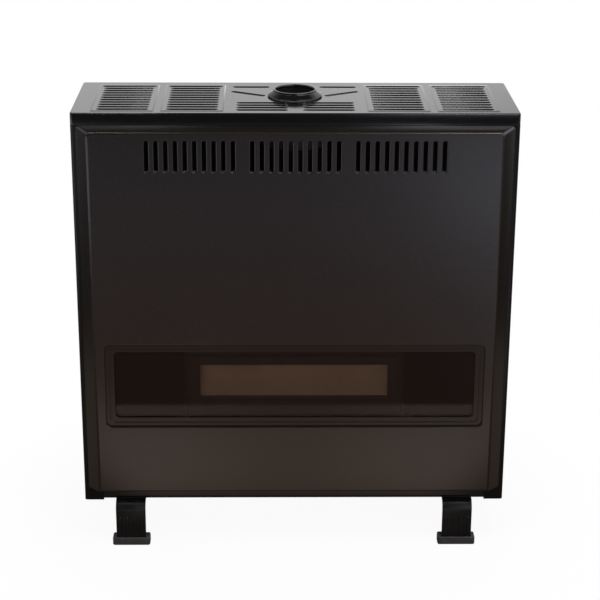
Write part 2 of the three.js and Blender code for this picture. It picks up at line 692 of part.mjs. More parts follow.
const frontSlots = [];
for (const group of [-1, 0, 1]) {
  for (let i = 0; i < FRONT_SLOTS; i += 1) {
    const x = (group * (FRONT_SLOTS + 1) + i - (FRONT_SLOTS - 1) / 2) * FRONT_SLOT_PITCH;
    frontSlots.push(slot(x, TOP - FRONT_SLOT_DROP - FRONT_SLOT_LENGTH / 2, FRONT_SLOT_LENGTH,
      FRONT_SLOT_WIDTH, Math.PI / 2));
  }
}

const hollow = panelForm(SHEET).intersect(
  block(-SIDE, SIDE, PANEL_FACE, PANEL_REAR - SHEET, BOTTOM, TOP));
const rearOpening = block(-PANEL_SIDE + PANEL_RETURN, PANEL_SIDE - PANEL_RETURN,
  PANEL_REAR - 2 * SHEET, PANEL_REAR + PAST, PANEL_BOTTOM + PANEL_RETURN, PANEL_TOP - PANEL_RETURN);
const returnEnd = PANEL_FACE + WINDOW_RETURN;
const frontPanel = cut(
  panelForm(0).subtract(hollow).add(openingPlate(SHEET, PANEL_FACE + SHEET / 2, returnEnd)),
  [rearOpening, openingPlate(0, PANEL_FACE - PAST, returnEnd + PAST),
    prism('y', frontSlots, PANEL_FACE - PAST, PANEL_FACE + 2 * SHEET, 2)],
);
const studs = studPlaces.map(({ x, z }) => (
  rod('y', STUD_RADIUS, PANEL_REAR - SHEET / 2, FRONT + STUD_LENGTH, x, z, 16)));
piece('front_panel', joined([frontPanel, ...studs]), brownEnamel);

// ---------------------------------------------------------------- window in the panel
const frameFront = returnEnd + FIT;
const frameBack = frameFront + FRAME_THICKNESS;
piece('window_frame', joined([
  openingRing(FRAME_BORDER - FRAME_STEP, -FRAME_STEP, frameFront, frameBack),
  openingRing(-FRAME_STEP + FRAME_THICKNESS / 4, -FRAME_BORDER, frameFront + FRAME_THICKNESS / 2, frameBack),
]), blackEnamel);

const gasketFront = frameBack + FIT;
const glassFront = gasketFront + GASKET_THICKNESS + FIT;
const glassBack = glassFront + GLASS_THICKNESS;
const glassMargin = GLASS_LAP - FRAME_BORDER;
const gasketMargin = glassMargin - GASKET_INSET;
piece('window_gasket', openingRing(gasketMargin, gasketMargin - GASKET_WIDTH, gasketFront,
  gasketFront + GASKET_THICKNESS), sealFibre);
piece('window_glass', openingPlate(glassMargin, glassFront, glassBack), smokedGlass);

// Each clip is a Z of spring steel from the back of the frame onto the back of the glass.
function glassClip(x, edge, outward) {
  const foot = frameBack + FIT;
  const tongue = glassBack + FIT;
  const at = (reach) => edge + outward * (GLASS_CLIP_CLEAR + reach);
  const shape = new THREE.Shape();
  shape.moveTo(foot, at(0));
  shape.lineTo(tongue, at(0));
  shape.lineTo(tongue, at(-GLASS_LAP));
  shape.lineTo(tongue + SHEET, at(-GLASS_LAP));
  shape.lineTo(tongue + SHEET, at(SHEET));
  shape.lineTo(foot + SHEET, at(SHEET));
  shape.lineTo(foot + SHEET, at(GLASS_LAP));
  shape.lineTo(foot, at(GLASS_LAP));
  return prism('x', shape, x - GLASS_CLIP_WIDTH / 2, x + GLASS_CLIP_WIDTH / 2);
}
const clipX = opening.side - GLASS_CLIP_INSET;
for (const [side, x] of [['left', -clipX], ['right', clipX]]) {
  piece(`glass_clip_upper_${side}`, glassClip(x, opening.top + glassMargin, 1), steel);
  piece(`glass_clip_lower_${side}`, glassClip(x, opening.bottom - glassMargin, -1), steel);
}

// ---------------------------------------------------------------- combustion chamber
const chamber = {
  front: FRONT + CHAMBER_SETBACK,
  back: FRONT + CHAMBER_SETBACK + CHAMBER_DEPTH,
  bottom: BOTTOM + CHAMBER_LIFT,
  top: BOTTOM + CHAMBER_LIFT + CHAMBER_HEIGHT,
  side: CHAMBER_WIDTH / 2,
};

function chamberForm(inset, bottom) {
  const side = chamber.side - inset;
  const neck = CHAMBER_NECK_WIDTH / 2;
  const top = chamber.top - inset;
  const shoulder = chamber.top - CHAMBER_SHOULDER - inset;
  const shape = new THREE.Shape();
  shape.moveTo(-side, bottom);
  shape.lineTo(side, bottom);
  shape.lineTo(side, shoulder);
  shape.lineTo(neck, top);
  shape.lineTo(-neck, top);
  shape.lineTo(-side, shoulder);
  const plan = rectangle(-side, side, chamber.front + inset, chamber.back - inset, CHAMBER_CORNER - inset);
  return prism('y', shape, chamber.front + inset, chamber.back - inset)
    .intersect(prism('z', plan, bottom, top));
}

const radiant = {
  side: RADIANT_WIDTH / 2,
  top: TOP - RADIANT_DROP,
  bottom: TOP - RADIANT_DROP - RADIANT_HEIGHT,
};
function radiantPlate(margin, from, to) {
  return block(-radiant.side - margin, radiant.side + margin, from, to, radiant.bottom - margin,
    radiant.top + margin);
}

const riserTop = chamber.top + RISER_HEIGHT;
const riser = (inset, from, to) => rod('z', RISER_RADIUS - inset, from, to, 0, FLUE_Y, 32);
piece('combustion_chamber', cut(
  chamberForm(0, chamber.bottom).add(riser(0, chamber.top - CHAMBER_WALL / 2, riserTop)),
  [chamberForm(CHAMBER_WALL, chamber.bottom - PAST),
    riser(CHAMBER_WALL, chamber.top - 2 * CHAMBER_WALL, riserTop + PAST),
    radiantPlate(0, chamber.front - PAST, chamber.front + 2 * CHAMBER_WALL)],
), heatSteel);

const micaBack = chamber.front - FIT;
const micaFront = micaBack - MICA_THICKNESS;
piece('chamber_window', radiantPlate(MICA_LAP, micaFront, micaBack), mica);
piece('chamber_window_frame', cut(
  radiantPlate(MICA_FRAME_BORDER, micaBack - MICA_FRAME_THICKNESS, micaBack),
  [radiantPlate(0, micaBack - MICA_FRAME_THICKNESS - PAST, micaBack + PAST),
    radiantPlate(MICA_LAP + FIT, micaFront - FIT, micaBack + PAST)],
), heatSteel);

// Four radiant tiles stand side by side in a folded tray behind the chamber's window.
const tileFront = chamber.front + CHAMBER_WALL + TILE_SETBACK;
const tileBack = tileFront + TILE_THICKNESS;
const tilePitch = RADIANT_WIDTH / TILES;
const tileNames = ['far_left', 'middle_left', 'middle_right', 'far_right'];
for (let i = 0; i < TILES; i += 1) {
  const left = -radiant.side + i * tilePitch;
  piece(`radiant_tile_${tileNames[i] ?? i + 1}`, block(left + FIT / 2, left + tilePitch - FIT / 2,
    tileFront, tileBack, radiant.bottom, radiant.top), ceramic);
}
const trayFront = chamber.front + CHAMBER_WALL + FIT;
piece('radiant_tray', joined([
  radiantPlate(FIT, tileBack + FIT, tileBack + FIT + TRAY_LIP),
  block(-radiant.side, radiant.side, trayFront, tileBack + FIT + TRAY_LIP,
    radiant.bottom - FIT - TRAY_LIP, radiant.bottom - FIT),
  block(-radiant.side, radiant.side, trayFront, tileBack + FIT + TRAY_LIP,
    radiant.top + FIT, radiant.top + FIT + TRAY_LIP),
]), heatSteel);

// Two sheet legs carry the chamber; the right one is pierced for the burner, both for the leads.
const leads = { y: FRONT + LEAD_SETBACK, z: BASE_TOP + LEAD_LIFT };
const burner = { y: FLUE_Y, z: chamber.bottom - BURNER_DROP };
function chamberLeg(side) {
  const outer = side * chamber.side;
  const inner = side * (chamber.side - CHAMBER_WALL);
  const flange = side * (chamber.side + BRACKET_FLANGE);
  const front = chamber.front + CHAMBER_CORNER;
  const back = chamber.back - CHAMBER_CORNER;
  const [webLow, webHigh] = [Math.min(outer, inner), Math.max(outer, inner)];
  const [flangeLow, flangeHigh] = [Math.min(inner, flange), Math.max(inner, flange)];
  const leadSlot = block(webLow - PAST, webHigh + PAST, front - PAST, leads.y + 2 * LEAD_SPACING,
    leads.z - 2 * LEAD_SPACING, leads.z + 2 * LEAD_SPACING);
  const burnerHole = rod('x', BURNER_RADIUS + BURNER_CLEAR, webLow - PAST, webHigh + PAST,
    burner.y, burner.z);
  return cut(joined([
    block(webLow, webHigh, front, back, BASE_TOP + FIT, chamber.bottom - FIT),
    block(flangeLow, flangeHigh, front, back, BASE_TOP + FIT, BASE_TOP + FIT + CHAMBER_WALL),
  ]), side > 0 ? [leadSlot, burnerHole] : [leadSlot]);
}
piece('chamber_leg_left', chamberLeg(-1), galvanised);
piece('chamber_leg_right', chamberLeg(1), galvanised);

const shieldFront = FRONT + SHIELD_SETBACK;
const shieldBottom = BASE_FLOOR + SHIELD_LIFT;
const shieldTop = shieldBottom + SHIELD_HEIGHT;
function shieldForm(inset, past) {
  const side = SHIELD_WIDTH / 2 - inset;
  return block(-side, side, shieldFront + inset, backInner - FIT + past,
    shieldBottom - past, shieldTop + past);
}
piece('rear_heat_shield', shieldForm(0, 0).subtract(shieldForm(SHEET, PAST)), galvanised);

// ---------------------------------------------------------------- flue
const hoodBottom = riserTop - HOOD_LAP;
const hoodShoulder = hoodBottom + HOOD_SKIRT;
const neckRadius = FLUE_BORE_RADIUS - FIT;
const neckTop = TOP + FLUE_RISE / 2;
piece('draught_hood', turned([
  [HOOD_RADIUS, hoodBottom], [HOOD_RADIUS, hoodShoulder], [neckRadius, hoodShoulder + HOOD_SHOULDER],
  [neckRadius, neckTop], [neckRadius - SHEET, neckTop], [neckRadius - SHEET, hoodShoulder + HOOD_SHOULDER],
  [HOOD_RADIUS - SHEET, hoodShoulder], [HOOD_RADIUS - SHEET, hoodBottom],
], 0, FLUE_Y, 0), galvanised);

const clampBottom = hoodBottom + HOOD_CLAMP_HEIGHT;
const clampOuter = HOOD_RADIUS + FIT + SHEET;
const armSide = HOOD_ARM_WIDTH / 2;
const clampTop = clampBottom + HOOD_CLAMP_HEIGHT;
const clampBore = rod('z', HOOD_RADIUS + FIT, clampBottom - PAST, clampTop + PAST, 0, FLUE_Y, 32);
piece('hood_bracket', joined([
  rod('z', clampOuter, clampBottom, clampTop, 0, FLUE_Y, 32),
  block(-armSide, armSide, FLUE_Y + HOOD_RADIUS / 2, backInner - FIT,
    clampBottom, clampBottom + CHAMBER_WALL),
  block(-armSide, armSide, backInner - FIT - CHAMBER_WALL, backInner - FIT, clampBottom,
    clampTop + HOOD_CLAMP_HEIGHT),
]).subtract(clampBore), galvanised);

const sealTop = TOP + FIT + FLUE_SEAL_THICKNESS;
const sealRadius = FLUE_BASE_RADIUS - 2 * FLUE_SEAL_THICKNESS;
piece('flue_seal', turned([
  [FLUE_BORE_RADIUS, TOP + FIT], [sealRadius, TOP + FIT], [sealRadius, sealTop],
  [FLUE_BORE_RADIUS, sealTop],
], 0, FLUE_Y, 0), sealFibre);

const collarFoot = sealTop + FIT;
const rimTop = TOP + FLUE_RISE;
piece('flue_collar', turned([
  [FLUE_BORE_RADIUS, collarFoot], [FLUE_BASE_RADIUS, collarFoot], [FLUE_BASE_RADIUS, collarFoot + FLUE_EDGE],
  [FLUE_RIM_RADIUS + FLUE_EDGE, rimTop - FLUE_LIP], [FLUE_RIM_RADIUS, rimTop - FLUE_ROUND],
  [FLUE_RIM_RADIUS - FLUE_ROUND, rimTop], [FLUE_BORE_RADIUS, rimTop],
], 0, FLUE_Y, 0), blackEnamel);

// ---------------------------------------------------------------- burner
// A turned piece that lies along X, from points of radius and place along the axis.
function turnedAlongX(points, y, z, segments = 14) {
  const profile = points.map(([radius, place]) => new THREE.Vector2(radius, place));
  const closed = points[0][0] > 0 ? [...profile, profile[0]] : profile;
  const geometry = new THREE.LatheGeometry(closed, segments);
  geometry.rotateZ(-Math.PI / 2);
  geometry.translate(0, y, z);
  return toSolid(geometry);
}

// The mixing tube reaches from the chamber to the injector beside the valve.
const burnerHalf = chamber.side - BURNER_INSET;
const injectorEnd = valveLeft - SUPPLY_RUN;
const injectorStart = injectorEnd - INJECTOR_LENGTH;
const mixerStart = burnerHalf + MIXER_NECK;
const mixerEnd = injectorStart - INJECTOR_GAP;
const throatStart = (mixerStart + mixerEnd - THROAT_LENGTH) / 2;
const throatEnd = throatStart + THROAT_LENGTH;
const ports = [];
for (let i = 0; i < BURNER_PORTS; i += 1) {
  const x = (i - (BURNER_PORTS - 1) / 2) * (2 * burnerHalf - BURNER_RADIUS) / BURNER_PORTS;
  ports.push(rectangle(x - BURNER_PORT_WIDTH / 2, x + BURNER_PORT_WIDTH / 2,
    burner.y - BURNER_RADIUS / 2, burner.y + BURNER_RADIUS / 2));
}
piece('burner_tube', turnedAlongX([
  [0, -burnerHalf], [BURNER_RADIUS, -burnerHalf], [BURNER_RADIUS, mixerStart],
  [VENTURI_RADIUS, throatStart], [VENTURI_RADIUS, throatEnd], [BURNER_RADIUS, mixerEnd],
  [BURNER_RADIUS - BURNER_WALL, mixerEnd], [VENTURI_RADIUS - BURNER_WALL, throatEnd],
  [VENTURI_RADIUS - BURNER_WALL, throatStart], [BURNER_RADIUS - BURNER_WALL, mixerStart],
  [BURNER_RADIUS - BURNER_WALL, BURNER_WALL - burnerHalf], [0, BURNER_WALL - burnerHalf],
], burner.y, burner.z).subtract(prism('z', ports, burner.z, burner.z + BURNER_RADIUS + PAST)), heatSteel);

const saddle = rod('x', BURNER_RADIUS + FIT, -SIDE, SIDE, burner.y, burner.z);
const bracketX = burnerHalf - BURNER_BRACKET_INSET;
for (const [side, x] of [['left', -bracketX], ['right', bracketX]]) {
  const reach = BURNER_RADIUS + BRACKET_FLANGE / 2;
  piece(`burner_bracket_${side}`, joined([
    block(x, x + CHAMBER_WALL, burner.y - reach, burner.y + reach, BASE_TOP + FIT, burner.z),
    block(x, x + BRACKET_FLANGE, burner.y - reach, burner.y + reach, BASE_TOP + FIT,
      BASE_TOP + FIT + CHAMBER_WALL),
  ]).subtract(saddle), galvanised);
}

// ---------------------------------------------------------------- controls
// The knob and the igniter button stand in a recess of the right side, inside the case's width.
const knobY = recess.front + KNOB_PLACE;
const igniterY = recess.front + IGNITER_PLACE;
const controlZ = (recess.bottom + recess.top) / 2;

piece('control_recess', cut(
  recessPlate(RECESS_FLANGE, recessWall - SHEET, recessWall)
    .add(recessPlate(SHEET, recessFloor - SHEET, recessWall - SHEET / 2)),
  [recessPlate(0, recessFloor, recessWall + PAST),
    rod('x', STEM_RADIUS + 2 * FIT, recessFloor - 2 * SHEET, recessFloor + PAST, knobY, controlZ, 16),
    rod('x', IGNITER_RADIUS + FIT, recessFloor - 2 * SHEET, recessFloor + PAST, igniterY, controlZ, 20)],
), blackEnamel);

const valveFront = knobY - VALVE_WIDTH / 2;
const valveBack = knobY + VALVE_WIDTH / 2;
const valveBottom = controlZ - VALVE_HEIGHT / 2;
const valveTop = valveBottom + VALVE_HEIGHT;
const stemTail = valveFace - STEM_SEAT;
const stemBore = rod('x', STEM_RADIUS + FIT, stemTail - FIT, valveFace + PAST, knobY, controlZ, 16);
const nutRadius = SUPPLY_PIPE_RADIUS + VALVE_NUT_WALL;
piece('gas_valve', joined([
  prism('x', rectangle(valveFront, valveBack, valveBottom, valveTop, VALVE_CORNER),
    valveLeft + VALVE_NUT, valveFace - VALVE_COLLAR),
  rod('x', VALVE_COLLAR_RADIUS, valveFace - VALVE_COLLAR - PAST, valveFace, knobY, controlZ, 20),
  rod('x', nutRadius, valveLeft, valveLeft + VALVE_NUT + PAST, knobY, controlZ, 6),
]).subtract(stemBore), brass);

// The knob's bore and the stem share one D-shaped section.
function dSection(radius, flat) {
  const open = Math.acos(flat / radius);
  const shape = new THREE.Shape();
  shape.absarc(knobY, controlZ, radius, Math.PI / 2 + open, Math.PI / 2 - open + 2 * Math.PI);
  return shape;
}
const knobInner = recessFloor + KNOB_PUSH + KNOB_GAP;
const knobOuter = knobInner + KNOB_LENGTH;
const stemEnd = knobOuter - KNOB_PUSH - KNOB_COVER;
piece('valve_stem', joined([
  rod('x', STEM_RADIUS, stemTail, recessFloor + FIT, knobY, controlZ, 16),
  prism('x', dSection(STEM_RADIUS, STEM_FLAT), stemTail, stemEnd, 8),
]), steel);

const knob = new THREE.Shape();
const flutePoints = KNOB_FLUTES * 4;
for (let i = 0; i < flutePoints; i += 1) {
  const angle = (i / flutePoints) * 2 * Math.PI;
  const radius = KNOB_RADIUS - KNOB_FLUTE_DEPTH * (1 - Math.cos(angle * KNOB_FLUTES)) / 2;
  const [y, z] = [knobY + radius * Math.sin(angle), controlZ + radius * Math.cos(angle)];
  if (i === 0) knob.moveTo(y, z);
  else knob.lineTo(y, z);
}
piece('control_knob', cut(
  joined([
    prism('x', knob, knobInner + KNOB_BOSS, knobOuter),
    rod('x', KNOB_RADIUS - KNOB_BOSS_INSET, knobInner, knobInner + KNOB_BOSS + PAST, knobY, controlZ, 28),
  ]),
  [prism('x', dSection(STEM_RADIUS + FIT, STEM_FLAT + FIT), knobInner - PAST, stemEnd + KNOB_PUSH + FIT, 8),
    block(knobOuter - KNOB_MARK_DEPTH, knobOuter + PAST, knobY - KNOB_MARK / 2, knobY + KNOB_MARK / 2,
      controlZ + KNOB_MARK_START, controlZ + KNOB_RADIUS + PAST)],
), blackPlastic);

const buttonFace = recessFloor + BUTTON_STAND;
const buttonTail = buttonFace - BUTTON_LENGTH;
const flangeFront = recessFloor + FIT + IGNITER_FLANGE;
piece('igniter_body', cut(
  joined([
    rod('x', IGNITER_RADIUS, flangeFront - IGNITER_LENGTH, flangeFront, igniterY, controlZ, 24),
    rod('x', IGNITER_RADIUS + IGNITER_FLANGE, recessFloor + FIT, flangeFront, igniterY, controlZ, 24),
  ]),
  [rod('x', BUTTON_RADIUS + FIT, buttonTail - BUTTON_TRAVEL - FIT, flangeFront + PAST, igniterY,
    controlZ, 24)],
), blackPlastic);
piece('igniter_button', rod('x', BUTTON_RADIUS, buttonTail, buttonFace, igniterY, controlZ, 24),
  blackPlastic);

// ---------------------------------------------------------------- gas pipes
piece('gas_injector', joined([
  rod('x', INJECTOR_RADIUS / 2, injectorStart, injectorStart + INJECTOR_LENGTH / 2, burner.y, burner.z, 12),
  rod('x', INJECTOR_RADIUS, injectorStart + INJECTOR_LENGTH / 3, injectorEnd, burner.y, burner.z, 6),
]), brass);

const supplyBend = SUPPLY_PIPE_RADIUS * 2;
const supplyMiddle = (injectorEnd + valveLeft) / 2;
piece('burner_supply_pipe', tube([
  [injectorEnd + FIT, burner.y, burner.z], [supplyMiddle, burner.y, burner.z],
  [supplyMiddle, knobY, controlZ], [valveLeft - FIT, knobY, controlZ],
], SUPPLY_PIPE_RADIUS, supplyBend, 8, 20), copper);

const inletDropX = valveFace - INLET_DROP_PLACE;
const inletZ = valveBottom - 3 * INLET_RADIUS;
const unionTop = BASE_FLOOR - FIT;
piece('gas_inlet_pipe', tube([
  [inletDropX, knobY, valveBottom - FIT], [inletDropX, knobY, inletZ],
  [inletDropX, inlet.y - 2 * INLET_RADIUS, inletZ], [inlet.x, inlet.y, inletZ],
  [inlet.x, inlet.y, unionTop - UNION_HEIGHT / 2],
], INLET_RADIUS, INLET_BEND, 10, 24), steel);
const unionRod = (radius, from, to, sides) => rod('z', radius, from, to, inlet.x, inlet.y, sides);
piece('gas_inlet_union', cut(unionRod(UNION_RADIUS, unionTop - UNION_HEIGHT, unionTop, 6), [
  unionRod(INLET_RADIUS + FIT, unionTop - UNION_HEIGHT / 2 - FIT, unionTop + PAST, 16),
  unionRod(INLET_BORE, unionTop - UNION_HEIGHT - PAST, unionTop, 12),
]), brass);

// ---------------------------------------------------------------- pilot group and its lines
const pilotY = burner.y - PILOT_AHEAD;
const pilotFoot = burner.z - PILOT_HEIGHT / 2;
const pilotTip = pilotFoot + PILOT_HEIGHT;
const pilotX = -chamber.side + PILOT_INSET;
const groupPlaces = {
  electrode: pilotX + PILOT_SPACING,
  pilot: pilotX,
  thermocouple: pilotX - PILOT_SPACING,
};
const plateTop = pilotFoot + PILOT_HEIGHT / 3;
const groupHole = PILOT_RADIUS + FIT;
const groupReach = PILOT_SPACING + groupHole + PILOT_PLATE_EDGE;
const bracketFoot = BASE_TOP + FIT;
const bracketBack = pilotY + PILOT_BRACKET_REACH;
const plateBottom = plateTop - CHAMBER_WALL;
const bracketPart = (front, low, high) => (
  block(pilotX - groupReach, pilotX + groupReach, front, bracketBack, low, high));
piece('pilot_bracket', cut(
  joined([
    bracketPart(pilotY - groupHole - PILOT_PLATE_EDGE, plateBottom, plateTop),
    bracketPart(bracketBack - CHAMBER_WALL, bracketFoot, plateTop),
    bracketPart(bracketBack - BRACKET_FLANGE, bracketFoot, bracketFoot + CHAMBER_WALL),
  ]),
  Object.values(groupPlaces).map((x) => (
    rod('z', groupHole, plateBottom - PAST, plateTop + PAST, x, pilotY, 12))),
), galvanised);

piece('pilot_burner', joined([
  rod('z', PILOT_RADIUS, pilotFoot, pilotTip - PAST, groupPlaces.pilot, pilotY, 12),
  rod('z', PILOT_RADIUS + PILOT_HOOD_WALL, pilotTip - PILOT_HOOD, pilotTip, groupPlaces.pilot, pilotY, 12),
]), brass);
piece('ignition_electrode', joined([
  rod('z', PILOT_RADIUS, pilotFoot, pilotTip - ELECTRODE_BARE, groupPlaces.electrode, pilotY, 12),
  rod('z', PILOT_RADIUS / 3, pilotTip - ELECTRODE_BARE - PAST, pilotTip + ELECTRODE_OVER,
    groupPlaces.electrode, pilotY, 8),
]), ceramic);

// Each line drops from its fitting, runs along the base and rises to the valve or the igniter.
function line(x, depth, radius, lift, end) {
  const y = leads.y + depth;
  const z = leads.z + lift;
  const [endX, endY, endZ] = end;
  return tube([[x, pilotY, pilotFoot - FIT], [x, pilotY, z], [x, y, z], [endX - 6 * radius, y, z],
    [endX - 6 * radius, endY, endZ], [endX, endY, endZ]], radius, 2 * radius, 6, 28);
}
const lineEnd = valveLeft + VALVE_NUT - FIT;
const lowPort = valveBottom + VALVE_PORT_LIFT;
piece('pilot_pipe', line(groupPlaces.pilot, 0, PILOT_PIPE_RADIUS, 0,
  [lineEnd, valveFront + PILOT_PORT, lowPort]), copper);
piece('thermocouple', line(groupPlaces.thermocouple, -LEAD_SPACING, LEAD_RADIUS, LEAD_SPACING,
  [lineEnd, valveFront + THERMOCOUPLE_PORT, lowPort]).add(
  rod('z', THERMOCOUPLE_RADIUS, pilotFoot - PAST, pilotTip, groupPlaces.thermocouple, pilotY, 12)), copper);
piece('ignition_lead', line(groupPlaces.electrode, LEAD_SPACING, LEAD_RADIUS, -LEAD_SPACING,
  [flangeFront - IGNITER_LENGTH - FIT, igniterY, controlZ]), sealFibre);

// ---------------------------------------------------------------- legs and pads
// Each leg is one formed bracket: a flange under the base, a knee turned outward, a ribbed
// shin, and a foot that stands in the socket of its pad.
const legTop = BASE_FLOOR - FIT;
const shinLow = PAD_HEIGHT - PAD_SOCKET + FIT;

function leg(side, facing) {
  const x = side * (SIDE - LEG_INSET);
  const y = (reach) => (facing === 'front' ? FRONT - reach : BACK - FOOT_INSET - FOOT_OVERHANG + reach);
  const shin = FOOT_OVERHANG - PAD_WALL - FIT;
  const kneeLow = legTop - 2 * KNEE_DROP;
  const shape = new THREE.Shape();
  shape.moveTo(y(-LEG_FLANGE), legTop);
  shape.lineTo(y(-LEG_THICKNESS), legTop);
  shape.quadraticCurveTo(y(shin), legTop - KNEE_DROP / 3, y(shin), kneeLow);
  shape.lineTo(y(shin), shinLow);
  shape.lineTo(y(shin - LEG_THICKNESS), shinLow);
  shape.lineTo(y(shin - LEG_THICKNESS), kneeLow);
  shape.quadraticCurveTo(y(shin - LEG_THICKNESS), legTop - LEG_THICKNESS - KNEE_DROP / 3,
    y(-2 * LEG_THICKNESS), legTop - LEG_THICKNESS);
  shape.lineTo(y(-LEG_FLANGE), legTop - LEG_THICKNESS);
  const half = LEG_WIDTH / 2;
  const ribs = [];
  for (let i = 0; i < LEG_RIBS; i += 1) {
    const middle = x + (i - (LEG_RIBS - 1) / 2) * (LEG_WIDTH / LEG_RIBS);
    const [low, high] = [y(shin - 1), y(shin + LEG_RIB_HEIGHT)].sort((a, b) => a - b);
    ribs.push(block(middle - LEG_RIB_WIDTH / 2, middle + LEG_RIB_WIDTH / 2, low, high,
      PAD_HEIGHT + FIT, kneeLow - LEG_RIB_GAP));
  }
  return joined([prism('x', shape, x - half, x + half, 6), ...ribs]);
}

function pad(side, facing) {
  const x = side * (SIDE - LEG_INSET);
  const edge = facing === 'front' ? FRONT - FOOT_OVERHANG : BACK - FOOT_INSET;
  const inward = facing === 'front' ? 1 : -1;
  const y = (reach) => edge + inward * reach;
  const low = Math.min(y(0), y(PAD_DEPTH));
  const socketLow = Math.min(y(PAD_WALL), y(PAD_WALL + LEG_THICKNESS + 2 * FIT));
  const half = LEG_WIDTH / 2 + FIT;
  const outline = rectangle(x - PAD_WIDTH / 2, x + PAD_WIDTH / 2, low, low + PAD_DEPTH, PAD_CORNER);
  return prism('z', outline, 0, PAD_HEIGHT)
    .subtract(block(x - half, x + half, socketLow, socketLow + LEG_THICKNESS + 2 * FIT,
      PAD_HEIGHT - PAD_SOCKET, PAD_HEIGHT + PAST));
}

for (const facing of ['front', 'rear']) {
  for (const [name, side] of [['left', -1], ['right', 1]]) {
    piece(`leg_${facing}_${name}`, leg(side, facing), blackPlastic);
    piece(`foot_pad_${facing}_${name}`, pad(side, facing), darkRubber);
  }
}

export default heater;
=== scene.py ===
import json
from math import atan2, cos, pi, radians, sin

import bmesh
import bpy
from mathutils import Matrix, Vector


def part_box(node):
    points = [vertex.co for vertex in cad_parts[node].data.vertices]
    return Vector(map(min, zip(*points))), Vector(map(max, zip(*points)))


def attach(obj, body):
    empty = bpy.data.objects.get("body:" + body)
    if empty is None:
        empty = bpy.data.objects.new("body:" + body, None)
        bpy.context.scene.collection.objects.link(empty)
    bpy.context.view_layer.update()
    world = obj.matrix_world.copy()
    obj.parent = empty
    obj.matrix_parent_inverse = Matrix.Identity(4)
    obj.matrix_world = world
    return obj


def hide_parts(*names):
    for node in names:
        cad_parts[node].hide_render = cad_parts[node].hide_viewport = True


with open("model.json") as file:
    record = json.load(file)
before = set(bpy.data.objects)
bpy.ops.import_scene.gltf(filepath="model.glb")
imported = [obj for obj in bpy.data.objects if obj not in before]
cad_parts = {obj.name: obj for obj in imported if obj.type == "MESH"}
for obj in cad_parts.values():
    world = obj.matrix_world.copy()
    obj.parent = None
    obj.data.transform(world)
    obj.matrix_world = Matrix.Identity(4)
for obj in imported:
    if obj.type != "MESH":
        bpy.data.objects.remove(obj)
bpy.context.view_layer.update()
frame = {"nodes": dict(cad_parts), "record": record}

# ---------------------------------------------------------------- view
# The camera stands about three metres in front of the heater at head height, level with
# the eye of someone who looks down at it.
CAMERA_PLACE = (-0.03927, -3.0083, 1.5365)
CAMERA_PITCH = radians(19.971)
CAMERA_YAW = radians(0.955)
CAMERA_ROLL = radians(0.308)
CAMERA_LENS = 103.33

camera_data = bpy.data.cameras.new("camera")
camera_data.sensor_width = 36.0
camera_data.lens = CAMERA_LENS
camera_data.clip_start = 0.05
camera = bpy.data.objects.new("camera", camera_data)
camera.matrix_world = (
    Matrix.Translation(CAMERA_PLACE)
    @ Matrix.Rotation(-CAMERA_YAW, 4, "Z")
    @ Matrix.Rotation(pi / 2 - CAMERA_PITCH, 4, "X")
    @ Matrix.Rotation(CAMERA_ROLL, 4, "Z")
)
scene = bpy.context.scene
scene.collection.objects.link(camera)
scene.camera = camera
scene.view_settings.view_transform = "Standard"


# ---------------------------------------------------------------- studio
# A white table stands in a room that a camera sees as plain white. Glossy surfaces mirror a room
# painted into the glow of the floors and the air: a painted pool of light on the table with painted
# shadow round the heater, a dim floor, a pale sheet behind, windows at the sides.
class Value:
    """A socket of a shading tree. An expression on values adds its Math nodes."""

    def __init__(self, shading, socket):
        self.shading = shading
        self.socket = socket

    def maths(self, operation, *terms):
        return self.shading.node("ShaderNodeMath", {"operation": operation}, dict(enumerate(terms)))

    def __add__(self, other):
        return self.maths("ADD", self, other)

    def __sub__(self, other):
        return self.maths("SUBTRACT", self, other)

    def __rsub__(self, other):
        return self.maths("SUBTRACT", other, self)

    def __mul__(self, other):
        return self.maths("MULTIPLY", self, other)

    def between(self, low, high):
        """0 below low, 1 above high and a straight rise from one to the other."""
        return self.shading.node("ShaderNodeMapRange", {}, {0: self, 1: low, 2: high})

    __radd__ = __add__
    __rmul__ = __mul__


class Shading:
    """The node tree of one finish, or of the room's air."""

    def __init__(self, owner):
        owner.use_nodes = True
        self.tree = owner.node_tree
        self.tree.nodes.clear()

    def node(self, kind, settings=None, sockets=None, output=0):
        """Adds a node: its settings first, then the values or links of its sockets."""
        made = self.tree.nodes.new(kind)
        for name, setting in (settings or {}).items():
            setattr(made, name, setting)
        for name, value in (sockets or {}).items():
            if isinstance(value, Value):
                self.tree.links.new(value.socket, made.inputs[name])
            else:
                made.inputs[name].default_value = value
        return Value(self, made.outputs[output]) if len(made.outputs) else made

    def blend(self, factor, first, second):
        """One colour turns into another as the factor goes from 0 to 1."""
        settings = {"data_type": "RGBA", "clamp_factor": True}
        return self.node("ShaderNodeMix", settings, {0: factor, 6: first, 7: second}, 2)


TABLE_FRONT = -0.77
TABLE_REACH = 9.0
GENERATED_COORDINATES = 0
OBJECT_COORDINATES = 3
WHITE = (1, 1, 1, 1)
UNLIT = (0.010, 0.009, 0.009, 1)


def staged_floor(name, front, back, material):
    """A flat stage surface that the heater stands on."""
    mesh = bmesh.new()
    spread = Matrix.Diagonal((2 * TABLE_REACH, back - front, 1, 1))
    place = Matrix.Translation((0, (front + back) / 2, 0))
    bmesh.ops.create_grid(mesh, x_segments=1, y_segments=1, size=0.5, matrix=place @ spread)
    data = bpy.data.meshes.new(name)
    mesh.to_mesh(data)
    mesh.free()
    data.materials.append(material)
    floor = bpy.data.objects.new(name, data)
    scene.collection.objects.link(floor)


